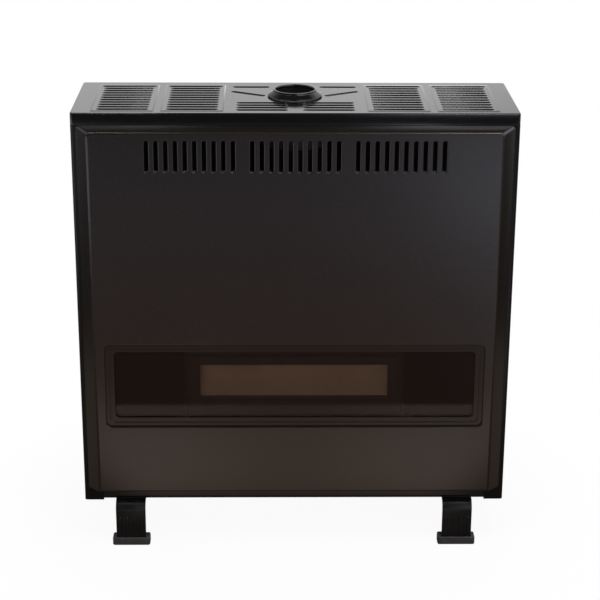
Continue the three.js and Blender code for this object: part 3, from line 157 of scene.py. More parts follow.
def light_path(shading):
    """Whether the ray comes from the camera, from a mirroring surface or through glass."""
    camera_ray, glossy_ray, transmission_ray = 0, 3, 6
    return [shading.node("ShaderNodeLightPath", output=kind)
            for kind in (camera_ray, glossy_ray, transmission_ray)]


def spread_out(shading, vector):
    """The three parts of a vector."""
    parts = shading.node("ShaderNodeSeparateXYZ", {}, {0: vector}).socket.node.outputs
    return [Value(shading, part) for part in parts]


def new_finish(name):
    """A material with its empty node tree, and the object coordinates in that tree."""
    material = bpy.data.materials.new(name)
    shading = Shading(material)
    return material, shading, shading.node("ShaderNodeTexCoord", output=OBJECT_COORDINATES)


def noise(shading, place, scale, detail):
    return shading.node(
        "ShaderNodeTexNoise", {}, {"Vector": place, "Scale": scale, "Detail": detail})


def table_white():
    """Pale matt paper. A camera sees it as plain white with a soft shadow round the heater. The heater
    mirrors a glow: a painted pool of light before it, which widens towards the front, painted shadow
    of the heater just before it, and painted shade at the dim sides."""
    material, shading, place = new_finish("table_white")
    seen, _, through = light_path(shading)
    across, along, _ = spread_out(shading, place)
    away = across.maths("SQRT", across * across + along * along).between(0.40, 0.70)
    paper = shading.blend(noise(shading, place, 3.0, 2.0), (0.80, 0.79, 0.78, 1), (0.84, 0.84, 0.84, 1))
    matt = shading.node("ShaderNodeBsdfDiffuse", {}, {"Color": paper})
    white = shading.node("ShaderNodeEmission", {}, {"Color": WHITE})
    paper_seen = shading.node("ShaderNodeMixShader", {}, {0: 0.94 + 0.06 * away, 1: matt, 2: white})
    aside = across.maths("ABSOLUTE", across)
    # painted light: the lit patch of table is painted into the glow, widening towards the front
    in_patch = (0.12 - 0.6 * along - aside).between(-0.05, 0.05)
    # painted shadow: the heater's own shadow is painted as a darker band just before it
    before = (0 - along).between(0.26, 0.38)
    lit = shading.blend(aside.between(0.05, 0.30), (0.82, 0.60, 0.46, 1), (1.12, 0.87, 0.74, 1))
    sides = shading.blend(aside.between(1.42, 1.52), (0.27, 0.22, 0.18, 1), UNLIT)
    # painted shade round the patch and the heater, dimmer still at the far sides
    painted_shade = shading.blend(aside.between(0.45, 0.8), (0.15, 0.115, 0.095, 1), sides)
    patch = shading.blend(in_patch * before, painted_shade, lit)
    image = shading.blend(along.between(0.2, 0.5), patch, (0.8, 0.8, 0.8, 1))
    glow = shading.node("ShaderNodeEmission", {}, {"Color": image})
    mixed = shading.node("ShaderNodeMixShader", {}, {0: seen + through, 1: glow, 2: paper_seen})
    shading.node("ShaderNodeOutputMaterial", {}, {0: mixed})
    return material


def room_floor_dim():
    """The room's floor in front of the table, which glows instead of being lit: dim and warm, bluish
    further off, with painted pools of window light at the far right and on the left. It ends at a dark
    wall."""
    material, shading, place = new_finish("room_floor")
    seen = light_path(shading)[0]
    across, along, _ = spread_out(shading, place)
    ahead = 0 - along
    far = ahead.between(1.3, 2.5)
    rise = across.between(0.15, 0.80)
    end = 1 - across.between(0.80, 0.88)
    left = (0 - across).between(1.0, 1.6)
    beyond = ahead.between(3.22, 3.33)
    floor = shading.blend(far, (0.33, 0.21, 0.18, 1), (0.40, 0.39, 0.47, 1))
    deep = 0.17 + 0.83 * ahead.between(1.8, 3.1)
    # painted light: a bright pool of daylight painted on the floor under the right-hand windows
    painted_daylight = shading.blend(rise * rise * rise * end * deep, floor, (4.6, 4.9, 5.7, 1))
    # painted light: a paler pool of light painted on the left
    sided = shading.blend(left, painted_daylight, (1.5, 1.55, 1.75, 1))
    ended = shading.blend(beyond, sided, (0.010, 0.010, 0.012, 1))
    air = shading.node("ShaderNodeEmission", {}, {"Color": ended})
    white = shading.node("ShaderNodeEmission", {}, {"Color": WHITE})
    mixed = shading.node("ShaderNodeMixShader", {}, {0: seen, 1: air, 2: white})
    shading.node("ShaderNodeOutputMaterial", {}, {0: mixed})
    return material


staged_floor("table", TABLE_FRONT, TABLE_REACH, table_white())
staged_floor("room_floor", -TABLE_REACH, TABLE_FRONT, room_floor_dim())

ROOM_DIM = 0.05
SHEET_LIGHT = 1.12
world = bpy.data.worlds.new("room")
scene.world = world
air = Shading(world)
seen, mirrored, through = light_path(air)
direction = air.node("ShaderNodeTexCoord", output=GENERATED_COORDINATES)
across, backward, upward = spread_out(air, direction)
ahead = 0 - backward

# The sheet behind the heater, which the lid mirrors: dimmer at both ends, with a lamp's glow
# low down that only the right-hand ramps of the lid's raised fields catch.
sheet = backward.between(-0.05, 0.15) * (1 - upward.between(0.52, 0.66))
left_shade = 0.45 + 0.55 * across.between(-0.28, -0.14)
right_shade = 1 - 0.28 * across.between(0.05, 0.14)
glow_width = across.between(0.02, 0.08) * (1 - across.between(0.15, 0.20))
lamp_glow = glow_width * (1 - upward.between(0.185, 0.210))
mirror_light = ROOM_DIM + sheet * (SHEET_LIGHT * left_shade * right_shade + lamp_glow)

# A window in front on the right, and bright walls high on both sides, stronger on the right.
window = across.between(0.08, 0.15) * ahead.between(0.2, 0.6) * (1 - upward.between(0.5, 0.7))
front_image = air.blend(window, mirror_light, (1.10, 1.18, 1.40, 1))
sideways = across.maths("ABSOLUTE", across).between(0.5, 0.7)
wall_height = upward.between(0.2, 0.35) * (1 - upward.between(0.75, 0.85))
side_glow = sideways * wall_height * (0.4 + 0.6 * across.between(-0.1, 0.1))
mirror_image = air.blend(side_glow, front_image, (2.0, 2.05, 2.2, 1))

room_light = 0.20 + 1.30 * ahead.between(0.3, 0.9) + 0.40 * backward.between(0.2, 0.9)
unseen = air.blend(mirrored, room_light, mirror_image)
colour = air.blend(seen + through, unseen, WHITE)
background = air.node("ShaderNodeBackground", {}, {"Color": colour})
air.node("ShaderNodeOutputWorld", {}, {0: background})


def lamp(name, place, target, size, power):
    """A square softbox that points at a place on the heater."""
    data = bpy.data.lights.new(name, "AREA")
    data.shape = "SQUARE"
    data.size = size
    data.energy = power
    box = bpy.data.objects.new(name, data)
    aim = Vector(target) - Vector(place)
    turn = aim.to_track_quat("-Z", "Y").to_matrix().to_4x4()
    box.matrix_world = Matrix.Translation(place) @ turn
    scene.collection.objects.link(box)
    return box


LID_MIDDLE = (0, 0, 0.8)
softbox = lamp("overhead_softbox", (0.4, -0.9, 2.9), (0, 0, 0.4), 1.6, 45)
softbox.visible_glossy = False
for x, width, power in ((1.05, 1.0, 17), (-1.15, 0.8, 6)):
    shine = lamp("edge_box", (x, -0.9, 2.9), LID_MIDDLE, width, power)
    shine.visible_diffuse = False
for x in (-0.85, 0.85):
    lamp("spot_box", (x, -1.6, 3.6), LID_MIDDLE, 0.35, 7)

# ---------------------------------------------------------------- lid
# The top and its four lips are one sheet of enamelled steel. Rows of slots with turned-down
# edges are punched in four raised fields and round the flue, and the lips cover the case.
SHEET = 0.0012
FOLD = 0.005
SUPPORT = 0.0005
NEARLY_ROUND = 0.0002
LEVEL = 1e-5


def outline(mesh, low, high, height, corner=0.0, segments=4):
    """A flat face from one corner to the other, its corners rounded. It faces up."""
    middle = ((low[0] + high[0]) / 2, (low[1] + high[1]) / 2, height)
    spread = Matrix.Diagonal((high[0] - low[0], high[1] - low[1], 1, 1))
    made = bmesh.ops.create_grid(
        mesh, x_segments=1, y_segments=1, size=0.5, matrix=Matrix.Translation(middle) @ spread)
    if corner > 0:
        made = bmesh.ops.bevel(
            mesh, geom=made["verts"], offset=corner, segments=segments, profile=0.5,
            affect="VERTICES", material=-1)
    return made["verts"][0].link_faces[0]


def step(mesh, face, inward, rise=0.0):
    """Draws a face inwards and up, which leaves a band round it."""
    bmesh.ops.inset_region(
        mesh, faces=[face], thickness=inward, depth=rise, use_boundary=True, use_even_offset=True)


def quarter_turn(steps):
    """The steps of a quarter turn, each as a pair of angles."""
    turns = [pi / 2 * i / steps for i in range(steps + 1)]
    return zip(turns, turns[1:])


def fold_over(mesh, face, radius, steps=5):
    """A wall that rises to the face turns over into it."""
    for a, b in quarter_turn(steps):
        step(mesh, face, radius * (cos(a) - cos(b)), radius * (sin(b) - sin(a)))


def roll_down(mesh, face, radius, steps=5):
    """A flat surface turns down into the face's hole."""
    for a, b in quarter_turn(steps):
        step(mesh, face, radius * (sin(b) - sin(a)), -radius * (cos(a) - cos(b)))


def take_out(mesh, face):
    bmesh.ops.delete(mesh, geom=[face], context="FACES_ONLY")


def punch(mesh, low, high, height, corner, roll, depth, turn=0.0, floor=False):
    """A hole with a turned-down edge, or a groove with a floor. The sheet round it is left
    to be filled up to its flat outer rim."""
    inner = (high[0] - low[0], high[1] - low[1])
    margin = roll + SUPPORT
    middle = Vector(((low[0] + high[0]) / 2, (low[1] + high[1]) / 2, 0))
    half = Vector((inner[0] / 2 + margin, inner[1] / 2 + margin))
    face = outline(mesh, -half, half, height, corner + margin, 5)
    place = Matrix.Translation(middle) @ Matrix.Rotation(turn, 4, "Z")
    bmesh.ops.transform(mesh, matrix=place, verts=face.verts)
    step(mesh, face, SUPPORT)
    roll_down(mesh, face, roll)
    step(mesh, face, 0, -depth)
    if not floor:
        take_out(mesh, face)


def fill_level(mesh, level, axis=2):
    """Fills the flat sheet between all the open rims that lie at one level."""
    rims = [edge for edge in mesh.edges if len(edge.link_faces) < 2
            and all(abs(corner.co[axis] - level) < LEVEL for corner in edge.verts)]
    normal = Vector((0, 0, 0))
    normal[axis] = 1
    bmesh.ops.triangle_fill(mesh, use_beauty=True, edges=rims, normal=normal)


def finished(name, mesh, body, slot, material, *stands_for, smooth=35, thickness=0.0):
    """Makes the mesh a named piece that rides on its body and stands for its solids. A sheet
    is first given its thickness on the inside."""
    bmesh.ops.remove_doubles(mesh, verts=mesh.verts, dist=LEVEL / 10)
    if thickness:
        bmesh.ops.solidify(mesh, geom=mesh.faces[:], thickness=thickness)
    data = bpy.data.meshes.new(name)
    mesh.to_mesh(data)
    mesh.free()
    data.shade_smooth()
    data.set_sharp_from_angle(angle=radians(smooth))
    data.materials.append(material)
    piece = bpy.data.objects.new(name, data)
    scene.collection.objects.link(piece)
    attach(piece, body)
    if stands_for:
        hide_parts(*stands_for)


def enamel(name, colour, shade, roughness, waviness, shine=0.5):
    """Stoved enamel: a glassy skin with a slight waviness, whose colour and gloss drift a
    little, with fine dust lying in it."""
    material, shading, place = new_finish(name)
    drift = noise(shading, place, 4.5, 3.0)
    wave = noise(shading, place, 160.0, 1.0)
    specks = noise(shading, place, 900.0, 2.0).between(0.66, 0.74)
    tone = shading.blend(drift, (*colour, 1), (*shade, 1))
    dusty = shading.blend(specks * 0.10, tone, (0.16, 0.155, 0.15, 1))
    gloss = roughness + (drift - 0.5) * 0.06 + specks * 0.10
    ripple = shading.node("ShaderNodeBump", {}, {
        "Strength": waviness, "Distance": 0.0004, "Height": wave})
    skin = shading.node("ShaderNodeBsdfPrincipled", {}, {
        "Base Color": dusty, "Roughness": gloss, "Normal": ripple,
        "IOR": 1.52, "Specular IOR Level": shine})
    shading.node("ShaderNodeOutputMaterial", {}, {0: skin})
    return material


BLACK_TONES = ((0.0028, 0.0026, 0.0028), (0.0045, 0.0042, 0.0044))
black_enamel = enamel("black_enamel", *BLACK_TONES, 0.13, 0.03)
lid_low, lid_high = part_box("top_cover")
LID_FOLD = 0.0025
LID_CORNER = 0.006
FIELD_CORNER = 0.004
FIELD_RISE = 0.0012
FIELD_RAMPS = (0.003, 0.008)
RAMP_SHARES = ((0.23, 0.12), (0.54, 0.76), (0.23, 0.12))
lid_top = lid_high.z - FIELD_RISE
SLOT_WIDTH = 0.007
SLOT_ROLL = 0.0028
SLOT_DEPTH = 0.0008
SLOT_ROWS = 11
SLOT_PITCH = 0.01765
SLOT_START = 0.024
GROUP_LENGTH = 0.087
GROUP_LEFT_EDGES = (-0.3445, -0.2235, 0.1365, 0.2575)
FIELD_MARGINS = (0.0122, 0.0125)
REAR_EXTRA = 0.0045
CENTRE_INNER = 0.015
CENTRE_ROWS = 4
REAR_CENTRE = (0.047, 0.111)
OBLIQUE_START = 0.055
OBLIQUE_LENGTH = 0.067
OBLIQUE_TURN = pi / 6
FLUE_HOLE = 0.0365
collar_low, collar_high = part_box("flue_collar")
flue_y = (collar_low.y + collar_high.y) / 2


def row_y(row):
    """Where a row of slots lies; the first row is the one nearest to the front."""
    return lid_low.y + SLOT_START + row * SLOT_PITCH


def lid_slot(mesh, left, right, y, height, turn=0.0):
    punch(mesh, (left, y - SLOT_WIDTH / 2), (right, y + SLOT_WIDTH / 2), height,
          SLOT_WIDTH / 2 - NEARLY_ROUND, SLOT_ROLL, SLOT_DEPTH, turn)


def ramp_up(mesh, face, across, along, rise):
    """Raises a face on ramps: one length at its left and right, another before and behind.
    Each ramp is gentle at its foot and head, and steep between them."""
    for run, share in RAMP_SHARES:
        step(mesh, face, run * across, share * rise)
        low, high = (pick(corner.co.y for corner in face.verts) for pick in (min, max))
        squeeze = 1 - run * (along - across) / ((high - low) / 2)
        for corner in face.verts:
            corner.co.y = (low + high) / 2 + (corner.co.y - (low + high) / 2) * squeeze


mesh = bmesh.new()
top = outline(mesh, lid_low, lid_high, lid_low.z, LID_CORNER, 5)
step(mesh, top, 0, lid_top - LID_FOLD - lid_low.z)
fold_over(mesh, top, LID_FOLD)
step(mesh, top, SUPPORT)
take_out(mesh, top)
last_row = SLOT_ROWS - 1
for left in GROUP_LEFT_EDGES:
    right = left + GROUP_LENGTH
    aside, along = FIELD_MARGINS
    field_low = (left - aside, row_y(0) - SLOT_WIDTH / 2 - along)
    field_high = (right + aside, row_y(last_row) + SLOT_WIDTH / 2 + along)
    field = outline(mesh, field_low, field_high, lid_top, FIELD_CORNER)
    step(mesh, field, SUPPORT)
    ramp_up(mesh, field, *FIELD_RAMPS, FIELD_RISE)
    step(mesh, field, SUPPORT)
    take_out(mesh, field)
    for row in range(SLOT_ROWS):
        extra = REAR_EXTRA if row == last_row else 0
        lid_slot(mesh, left - extra, right + extra, row_y(row), lid_high.z)
for side in (-1, 1):
    for row in range(CENTRE_ROWS):
        near, far = sorted((side * CENTRE_INNER, side * (CENTRE_INNER + GROUP_LENGTH)))
        lid_slot(mesh, near, far, row_y(row), lid_top)
    near, far = sorted(side * edge for edge in REAR_CENTRE)
    lid_slot(mesh, near, far, row_y(last_row), lid_top)
    reach = OBLIQUE_LENGTH / 2
    middle = side * (OBLIQUE_START + reach * cos(OBLIQUE_TURN))
    lid_slot(mesh, middle - reach, middle + reach, flue_y + reach * sin(OBLIQUE_TURN), lid_top,
             side * OBLIQUE_TURN)
hole = outline(mesh, (-FLUE_HOLE, flue_y - FLUE_HOLE), (FLUE_HOLE, flue_y + FLUE_HOLE), lid_top,
               FLUE_HOLE - NEARLY_ROUND, 12)
step(mesh, hole, SUPPORT)
take_out(mesh, hole)
fill_level(mesh, lid_top)
fill_level(mesh, lid_high.z)
finished("lid", mesh, "case", "black_enamel", black_enamel, "top_cover", thickness=SHEET)

# ---------------------------------------------------------------- side panels
# Each side is one sheet of black enamelled steel, folded into a C: its front flange is the
# post beside the front panel. The right one has an opening for the controls.
POST = 0.0355
REAR_FLANGE = 0.016
LIP_GAP = 0.0003
RECESS_FLANGE = 0.008
RECESS_CORNER = 0.008
RECESS_ROLL = 0.0007
RECESS_EDGE = 0.0004
INSIDE = 0.02
recess_low, recess_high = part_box("control_recess")
side_enamel = enamel("side_enamel", *BLACK_TONES, 0.18, 0.03, 0.2)
# A form drawn face up is turned to look along X: its width runs along Y and its height up.
look_right = Matrix(((0, 0, 1, 0), (1, 0, 0, 0), (0, 1, 0, 0), (0, 0, 0, 1)))


def new_corners(drawn):
    """The new corners of edges that were drawn out."""
    return [item for item in drawn["geom"] if isinstance(item, bmesh.types.BMVert)]


def folded_sheet(mesh, path, bends, low, high, radius):
    """A strip folded along a path seen from above, and drawn up from low to high."""
    corners = [mesh.verts.new((x, y, low)) for x, y in path]
    for a, b in zip(corners, corners[1:]):
        mesh.edges.new((a, b))
    bent = [corners[i] for i in bends]
    bmesh.ops.bevel(mesh, geom=bent, offset=radius, segments=5, profile=0.5,
                    affect="VERTICES", material=-1)
    drawn = bmesh.ops.extrude_edge_only(mesh, edges=mesh.edges[:])
    bmesh.ops.translate(mesh, vec=(0, 0, high - low), verts=new_corners(drawn))
    bmesh.ops.recalc_face_normals(mesh, faces=mesh.faces[:])


def face_outwards(mesh, inner_point):
    """Turns the sheet's faces, all one way round, away from a point inside the case."""
    bmesh.ops.recalc_face_normals(mesh, faces=mesh.faces[:])
    broad = max(mesh.faces, key=lambda face: face.calc_area())
    if broad.normal.dot(broad.calc_center_median() - Vector(inner_point)) < 0:
        bmesh.ops.reverse_faces(mesh, faces=mesh.faces[:])


for name, side in (("left", -1), ("right", 1)):
    low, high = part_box("side_panel_" + name)
    outer = side * max(abs(low.x), abs(high.x))
    top_edge = lid_low.z - LIP_GAP
    path = [(outer - side * POST, low.y), (outer, low.y), (outer, high.y),
            (outer - side * REAR_FLANGE, high.y)]
    mesh = bmesh.new()
    folded_sheet(mesh, path, (1, 2), low.z, top_edge, FOLD)
    if side > 0:
        web = max(mesh.faces, key=lambda face: face.calc_area())
        take_out(mesh, web)
        hole_low = (recess_low.y + RECESS_FLANGE, recess_low.z + RECESS_FLANGE)
        hole_high = (recess_high.y - RECESS_FLANGE, recess_high.z - RECESS_FLANGE)
        earlier = set(mesh.verts)
        punch(mesh, hole_low, hole_high, 0, RECESS_CORNER, RECESS_ROLL, RECESS_EDGE)
        fresh = [vertex for vertex in mesh.verts if vertex not in earlier]
        stand = Matrix.Translation((outer, 0, 0)) @ look_right
        bmesh.ops.transform(mesh, matrix=stand, verts=fresh)
        fill_level(mesh, outer, 0)
    face_outwards(mesh, (outer - side * INSIDE, 0, (low.z + high.z) / 2))
    finished("side_" + name, mesh, "case", "black_enamel", side_enamel, "side_panel_" + name,
             thickness=SHEET)

# ---------------------------------------------------------------- front panel
# One sheet of brown enamelled steel, pressed into a shallow pan with sloping sides. It has
# three groups of slots at the top and a rounded opening for the window.
PANEL_DEPTH = 0.0217
SIDE_BEVEL = 0.0215
TOP_BEVEL = 0.0075
PANEL_CORNER = 0.009
PANEL_FOLD = 0.003
PANEL_RETURN = 0.014
FRONT_SLOTS = 10
FRONT_PITCH = 0.01665
FRONT_WIDTH = 0.0064
FRONT_LENGTH = 0.056
FRONT_DROP = 0.044
FRONT_ROLL = 0.0022
FRONT_DEPTH = 0.0008
WINDOW_CORNER = 0.009
WINDOW_ROLL = 0.0016
WINDOW_RETURN = 0.005
FRAME_BORDER = 0.0165
GLASS_LAP = 0.009

brown_enamel = enamel(
    "brown_enamel", (0.0050, 0.0037, 0.0028), (0.0070, 0.0052, 0.0040), 0.24, 0.02)
panel_low, panel_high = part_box("front_panel")
glass_low, glass_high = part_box("window_glass")
open_low = (glass_low.x - FRAME_BORDER + GLASS_LAP, glass_low.z - FRAME_BORDER + GLASS_LAP)
open_high = (-open_low[0], glass_high.z + FRAME_BORDER - GLASS_LAP)

# The panel is drawn lying on its back, face up, and is then stood up.
stand_up = Matrix.Rotation(pi / 2, 4, "X")
turn_back = Matrix.Rotation(pi, 4, "Z")


def moved(mesh, matrix):
    bmesh.ops.transform(mesh, matrix=matrix, verts=mesh.verts)


def stood(mesh, face_y):
    """Stands a form up that was drawn face up at level zero, and puts its face at one Y."""
    moved(mesh, Matrix.Translation((0, face_y, 0)) @ stand_up)


mesh = bmesh.new()
back_low = (panel_low.x, panel_low.z)
back_high = (panel_high.x, panel_high.z)
field = outline(mesh, back_low, back_high, -PANEL_DEPTH)
upper = [corner for corner in field.verts if corner.co.y > open_high[1]]
bent = bmesh.ops.bevel(mesh, geom=upper, offset=PANEL_CORNER, segments=6, profile=0.5,
                       affect="VERTICES", material=-1)
field = bent["verts"][0].link_faces[0]
step(mesh, field, 0, PANEL_DEPTH)
wide = panel_high.x - panel_low.x
tall = panel_high.z - panel_low.z
narrow = Matrix.Diagonal(((wide - 2 * SIDE_BEVEL) / wide, (tall - TOP_BEVEL) / tall, 1, 1))
pivot = Matrix.Translation((0, panel_low.z, 0))
bmesh.ops.transform(mesh, matrix=pivot @ narrow @ pivot.inverted(), verts=field.verts)
bmesh.ops.bevel(mesh, geom=list(field.edges), offset=PANEL_FOLD, segments=4, profile=0.5,
                affect="EDGES", material=-1)
field = max(mesh.faces, key=lambda face: face.calc_area())
step(mesh, field, SUPPORT)
take_out(mesh, field)
slot_top = lid_top - FRONT_DROP
for group in (-1, 0, 1):
    for i in range(FRONT_SLOTS):
        x = (group * (FRONT_SLOTS + 1) + i - (FRONT_SLOTS - 1) / 2) * FRONT_PITCH
        slot_low = (x - FRONT_WIDTH / 2, slot_top - FRONT_LENGTH)
        slot_high = (x + FRONT_WIDTH / 2, slot_top)
        punch(mesh, slot_low, slot_high, 0, FRONT_WIDTH / 2 - NEARLY_ROUND, FRONT_ROLL, FRONT_DEPTH)
punch(mesh, open_low, open_high, 0, WINDOW_CORNER, WINDOW_ROLL, WINDOW_RETURN - WINDOW_ROLL)
fill_level(mesh, 0)
rear = [edge for edge in mesh.edges if edge.is_boundary
        and all(corner.co.z < -PANEL_DEPTH + LEVEL for corner in edge.verts)]
drawn = bmesh.ops.extrude_edge_only(mesh, edges=rear)
middle = Matrix.Translation((0, (panel_low.z + panel_high.z) / 2, 0))
shrink = Matrix.Diagonal((1 - 2 * PANEL_RETURN / wide, 1 - 2 * PANEL_RETURN / tall, 1, 1))
bmesh.ops.transform(
    mesh, matrix=middle @ shrink @ middle.inverted(), verts=new_corners(drawn))
stood(mesh, panel_low.y)
finished("panel", mesh, "front_cover", "brown_enamel", brown_enamel, "front_panel", thickness=SHEET)

# ---------------------------------------------------------------- window frame
# A stepped black ring behind the opening; the glass lies against its back.
FRAME_STEP = 0.008
FRAME_THICKNESS = 0.004
FRAME_CORNER = 0.0175
LEDGE_CORNER = 0.008
LEDGE_ROLL = 0.0016
SIGHT_CORNER = 0.007
SIGHT_ROLL = 0.0012
frame_low, frame_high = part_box("window_frame")
mesh = bmesh.new()
ring = outline(
    mesh, (frame_low.x, frame_low.z), (frame_high.x, frame_high.z), 0, FRAME_CORNER, 6)
take_out(mesh, ring)
ledge = FRAME_THICKNESS / 2
for inset, level, corner, roll in ((FRAME_STEP, 0, LEDGE_CORNER, LEDGE_ROLL),
                                   (FRAME_BORDER, -ledge, SIGHT_CORNER, SIGHT_ROLL)):
    hole_low = (open_low[0] + inset, open_low[1] + inset)
    hole_high = (open_high[0] - inset, open_high[1] - inset)
    punch(mesh, hole_low, hole_high, level, corner, roll, ledge - roll)
fill_level(mesh, 0)
fill_level(mesh, -ledge)
stood(mesh, frame_low.y)
matt_black = enamel(
    "matt_black", (0.0080, 0.0062, 0.0052), (0.0110, 0.0085, 0.0072), 0.22, 0.03, 0.3)
finished("frame_ring", mesh, "front_cover", "black_enamel", matt_black, "window_frame")

# ---------------------------------------------------------------- window glass
# Smoked heat-resistant glass, four millimetres thick, with ground edges.
GLASS_CORNER = 0.003
GLASS_EDGE = 0.0006
smoked, shading, place = new_finish("smoked_glass")
cloud = noise(shading, place, 7.0, 2.0)
tint = shading.blend(cloud, (0.0040, 0.0022, 0.0014, 1), (0.0060, 0.0034, 0.0022, 1))
cover = 0.36 + cloud * 0.05
pane = shading.node("ShaderNodeBsdfPrincipled", {}, {
    "Base Color": tint, "Roughness": 0.03 + cloud * 0.02, "Alpha": cover, "IOR": 1.5})
shading.node("ShaderNodeOutputMaterial", {}, {0: pane})


def slab(mesh, low, high, y_front, thickness, corner, edge):
    """An upright plate with rounded corners and eased edges."""
    face = outline(mesh, low, high, -thickness, corner, 6)
    step(mesh, face, 0, thickness - edge)
    step(mesh, face, edge, edge)
    step(mesh, face, SUPPORT)
    back = [boundary for boundary in mesh.edges if boundary.is_boundary]
    bmesh.ops.holes_fill(mesh, edges=back)
    stood(mesh, y_front)
    bmesh.ops.recalc_face_normals(mesh, faces=mesh.faces[:])


mesh = bmesh.new()
slab(mesh, (glass_low.x, glass_low.z), (glass_high.x, glass_high.z), glass_low.y,
     glass_high.y - glass_low.y, GLASS_CORNER, GLASS_EDGE)
finished("glass", mesh, "front_cover", "smoked_glass", smoked, "window_glass")

# ---------------------------------------------------------------- flue collar
# A low cone of black enamelled steel round the flue opening, rolled outwards at its rim. It
# lies on the lid with a fibre seal under it.
BORE_RADIUS = 0.035
RIM_RADIUS = 0.0376
CONE_RADIUS = 0.049
FOOT_EDGE = 0.0014
RIM_GROWTH = 0.0012
RIM_HEIGHT = 0.0034
BORE_EDGE = (0.0008, 0.0022)
COLLAR_ROUND = 0.0006


def turned(mesh, profile, rounding=0.0, segments=64):
    """A form spun about the upright axis from points of radius and height."""
    line = [mesh.verts.new((radius, 0, height)) for radius, height in profile]
    for pair in zip(line, line[1:]):
        mesh.edges.new(pair)
    if rounding:
        bmesh.ops.bevel(mesh, geom=line[1:-1], offset=rounding, segments=3, profile=0.5,
                        affect="VERTICES", material=-1)
    bmesh.ops.spin(mesh, geom=mesh.verts[:] + mesh.edges[:], cent=(0, 0, 0), axis=(0, 0, 1),
                   angle=2 * pi, steps=segments, use_merge=True)
    bmesh.ops.remove_doubles(mesh, verts=mesh.verts, dist=LEVEL)
    bmesh.ops.recalc_face_normals(mesh, faces=mesh.faces[:])


foot_z = collar_low.z
rim_z = collar_high.z
mesh = bmesh.new()
turned(mesh, [
    (BORE_RADIUS, foot_z), (CONE_RADIUS, foot_z), (CONE_RADIUS, foot_z + FOOT_EDGE),
    (RIM_RADIUS + RIM_GROWTH, rim_z - RIM_HEIGHT), (RIM_RADIUS + RIM_GROWTH, rim_z),
    (BORE_RADIUS + BORE_EDGE[0], rim_z), (BORE_RADIUS, rim_z - BORE_EDGE[1]),
    (BORE_RADIUS, foot_z)], COLLAR_ROUND)
moved(mesh, Matrix.Translation((0, flue_y, 0)))
finished("collar", mesh, "case", "black_enamel", black_enamel, "flue_collar", smooth=50)

# ---------------------------------------------------------------- legs
# Each leg is a strip of black plastic-coated steel, bent down under the base pan, with four
# ribs pressed in its shin. Its foot stands in the socket of a rubber pad.
LEG_WIDTH = 0.055
LEG_THICKNESS = 0.005
LEG_BEND = 0.020
RIB_WIDTH = 0.0042
RIB_HEIGHT = 0.002
RIBS = 4
RIB_ROUND = 0.0012
KNEE_TO_RIBS = 0.0312
RIBS_TO_FOOT = 0.009
RIB_ROOT = 0.001
RIB_CORNER = 0.0016
LEG_EASE = 0.0009


def plastic(name, colour, shade, roughness, grain, relief, shine=0.5):
    """Moulded or rubbery stuff with a fine grain, a little greyer where it is scuffed."""
    material, shading, place = new_finish(name)
    skin_grain = noise(shading, place, grain, 3.0)
    scuff = noise(shading, place, 40.0, 4.0)
    tone = shading.blend(scuff.between(0.45, 0.7), (*colour, 1), (*shade, 1))
    relieved = shading.node("ShaderNodeBump", {}, {
        "Strength": relief, "Distance": 0.0003, "Height": skin_grain})
    skin = shading.node("ShaderNodeBsdfPrincipled", {}, {
        "Base Color": tone, "Roughness": roughness + (scuff - 0.5) * 0.15, "Normal": relieved,
        "Specular IOR Level": shine})
    shading.node("ShaderNodeOutputMaterial", {}, {0: skin})
    return material


black_plastic = plastic(
    "black_plastic", (0.0035, 0.0035, 0.0037), (0.0060, 0.0060, 0.0064), 0.34, 900.0, 0.15, 0.3)
dark_rubber = plastic(
    "dark_rubber", (0.022, 0.022, 0.023), (0.036, 0.036, 0.038), 0.50, 500.0, 0.35)


def bent_strip(mesh, path, bend, width):
    """A strip that follows a path across Y and Z and is drawn along X."""
    line = [mesh.verts.new((-width / 2, y, z)) for y, z in path]
    for pair in zip(line, line[1:]):
        mesh.edges.new(pair)
    bmesh.ops.bevel(mesh, geom=line[1:-1], offset=bend, segments=9, profile=0.5,
                    affect="VERTICES", material=-1)
    drawn = bmesh.ops.extrude_edge_only(mesh, edges=mesh.edges[:])
    bmesh.ops.translate(mesh, vec=(width, 0, 0), verts=new_corners(drawn))


def eased_edges(mesh, width):
    """Rounds the edges where two faces meet at a right angle or nearly so."""
    sharp = [edge for edge in mesh.edges if edge.calc_face_angle(0) > radians(50)]
    bmesh.ops.bevel(mesh, geom=sharp, offset=width, segments=3, profile=0.5,
                    affect="EDGES", material=-1)


for facing, outward in (("front", -1), ("rear", 1)):
    for hand in ("left", "right"):
        node = f"leg_{facing}_{hand}"
        low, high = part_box(node)
        x = (low.x + high.x) / 2
        shin_y = low.y + RIB_HEIGHT if outward < 0 else high.y - RIB_HEIGHT
        flange_y = high.y if outward < 0 else low.y
        mesh = bmesh.new()
        path = [(flange_y, high.z), (shin_y, high.z), (shin_y, low.z)]
        bent_strip(mesh, path, LEG_BEND, LEG_WIDTH)
        face_outwards(mesh, (0, flange_y, low.z))
        moved(mesh, Matrix.Translation((x, 0, 0)))
        bmesh.ops.solidify(mesh, geom=mesh.faces[:], thickness=LEG_THICKNESS)
        eased_edges(mesh, LEG_EASE)
        finished(node + "_strip", mesh, "case", "black_plastic", black_plastic, node)
        mesh = bmesh.new()
        for i in range(RIBS):
            middle = (i - (RIBS - 1) / 2) * LEG_WIDTH / RIBS
            rib_low = (middle - RIB_WIDTH / 2, low.z + RIBS_TO_FOOT)
            rib_high = (middle + RIB_WIDTH / 2, high.z - KNEE_TO_RIBS)
            rib = outline(mesh, rib_low, rib_high, -RIB_ROOT, RIB_CORNER, 3)
            step(mesh, rib, 0, RIB_ROOT + RIB_HEIGHT - RIB_ROUND)
            fold_over(mesh, rib, RIB_ROUND, 3)
        turn = stand_up if outward < 0 else turn_back @ stand_up
        moved(mesh, Matrix.Translation((x, shin_y, 0)) @ turn)
        finished(node + "_ribs", mesh, "case", "black_plastic", black_plastic)

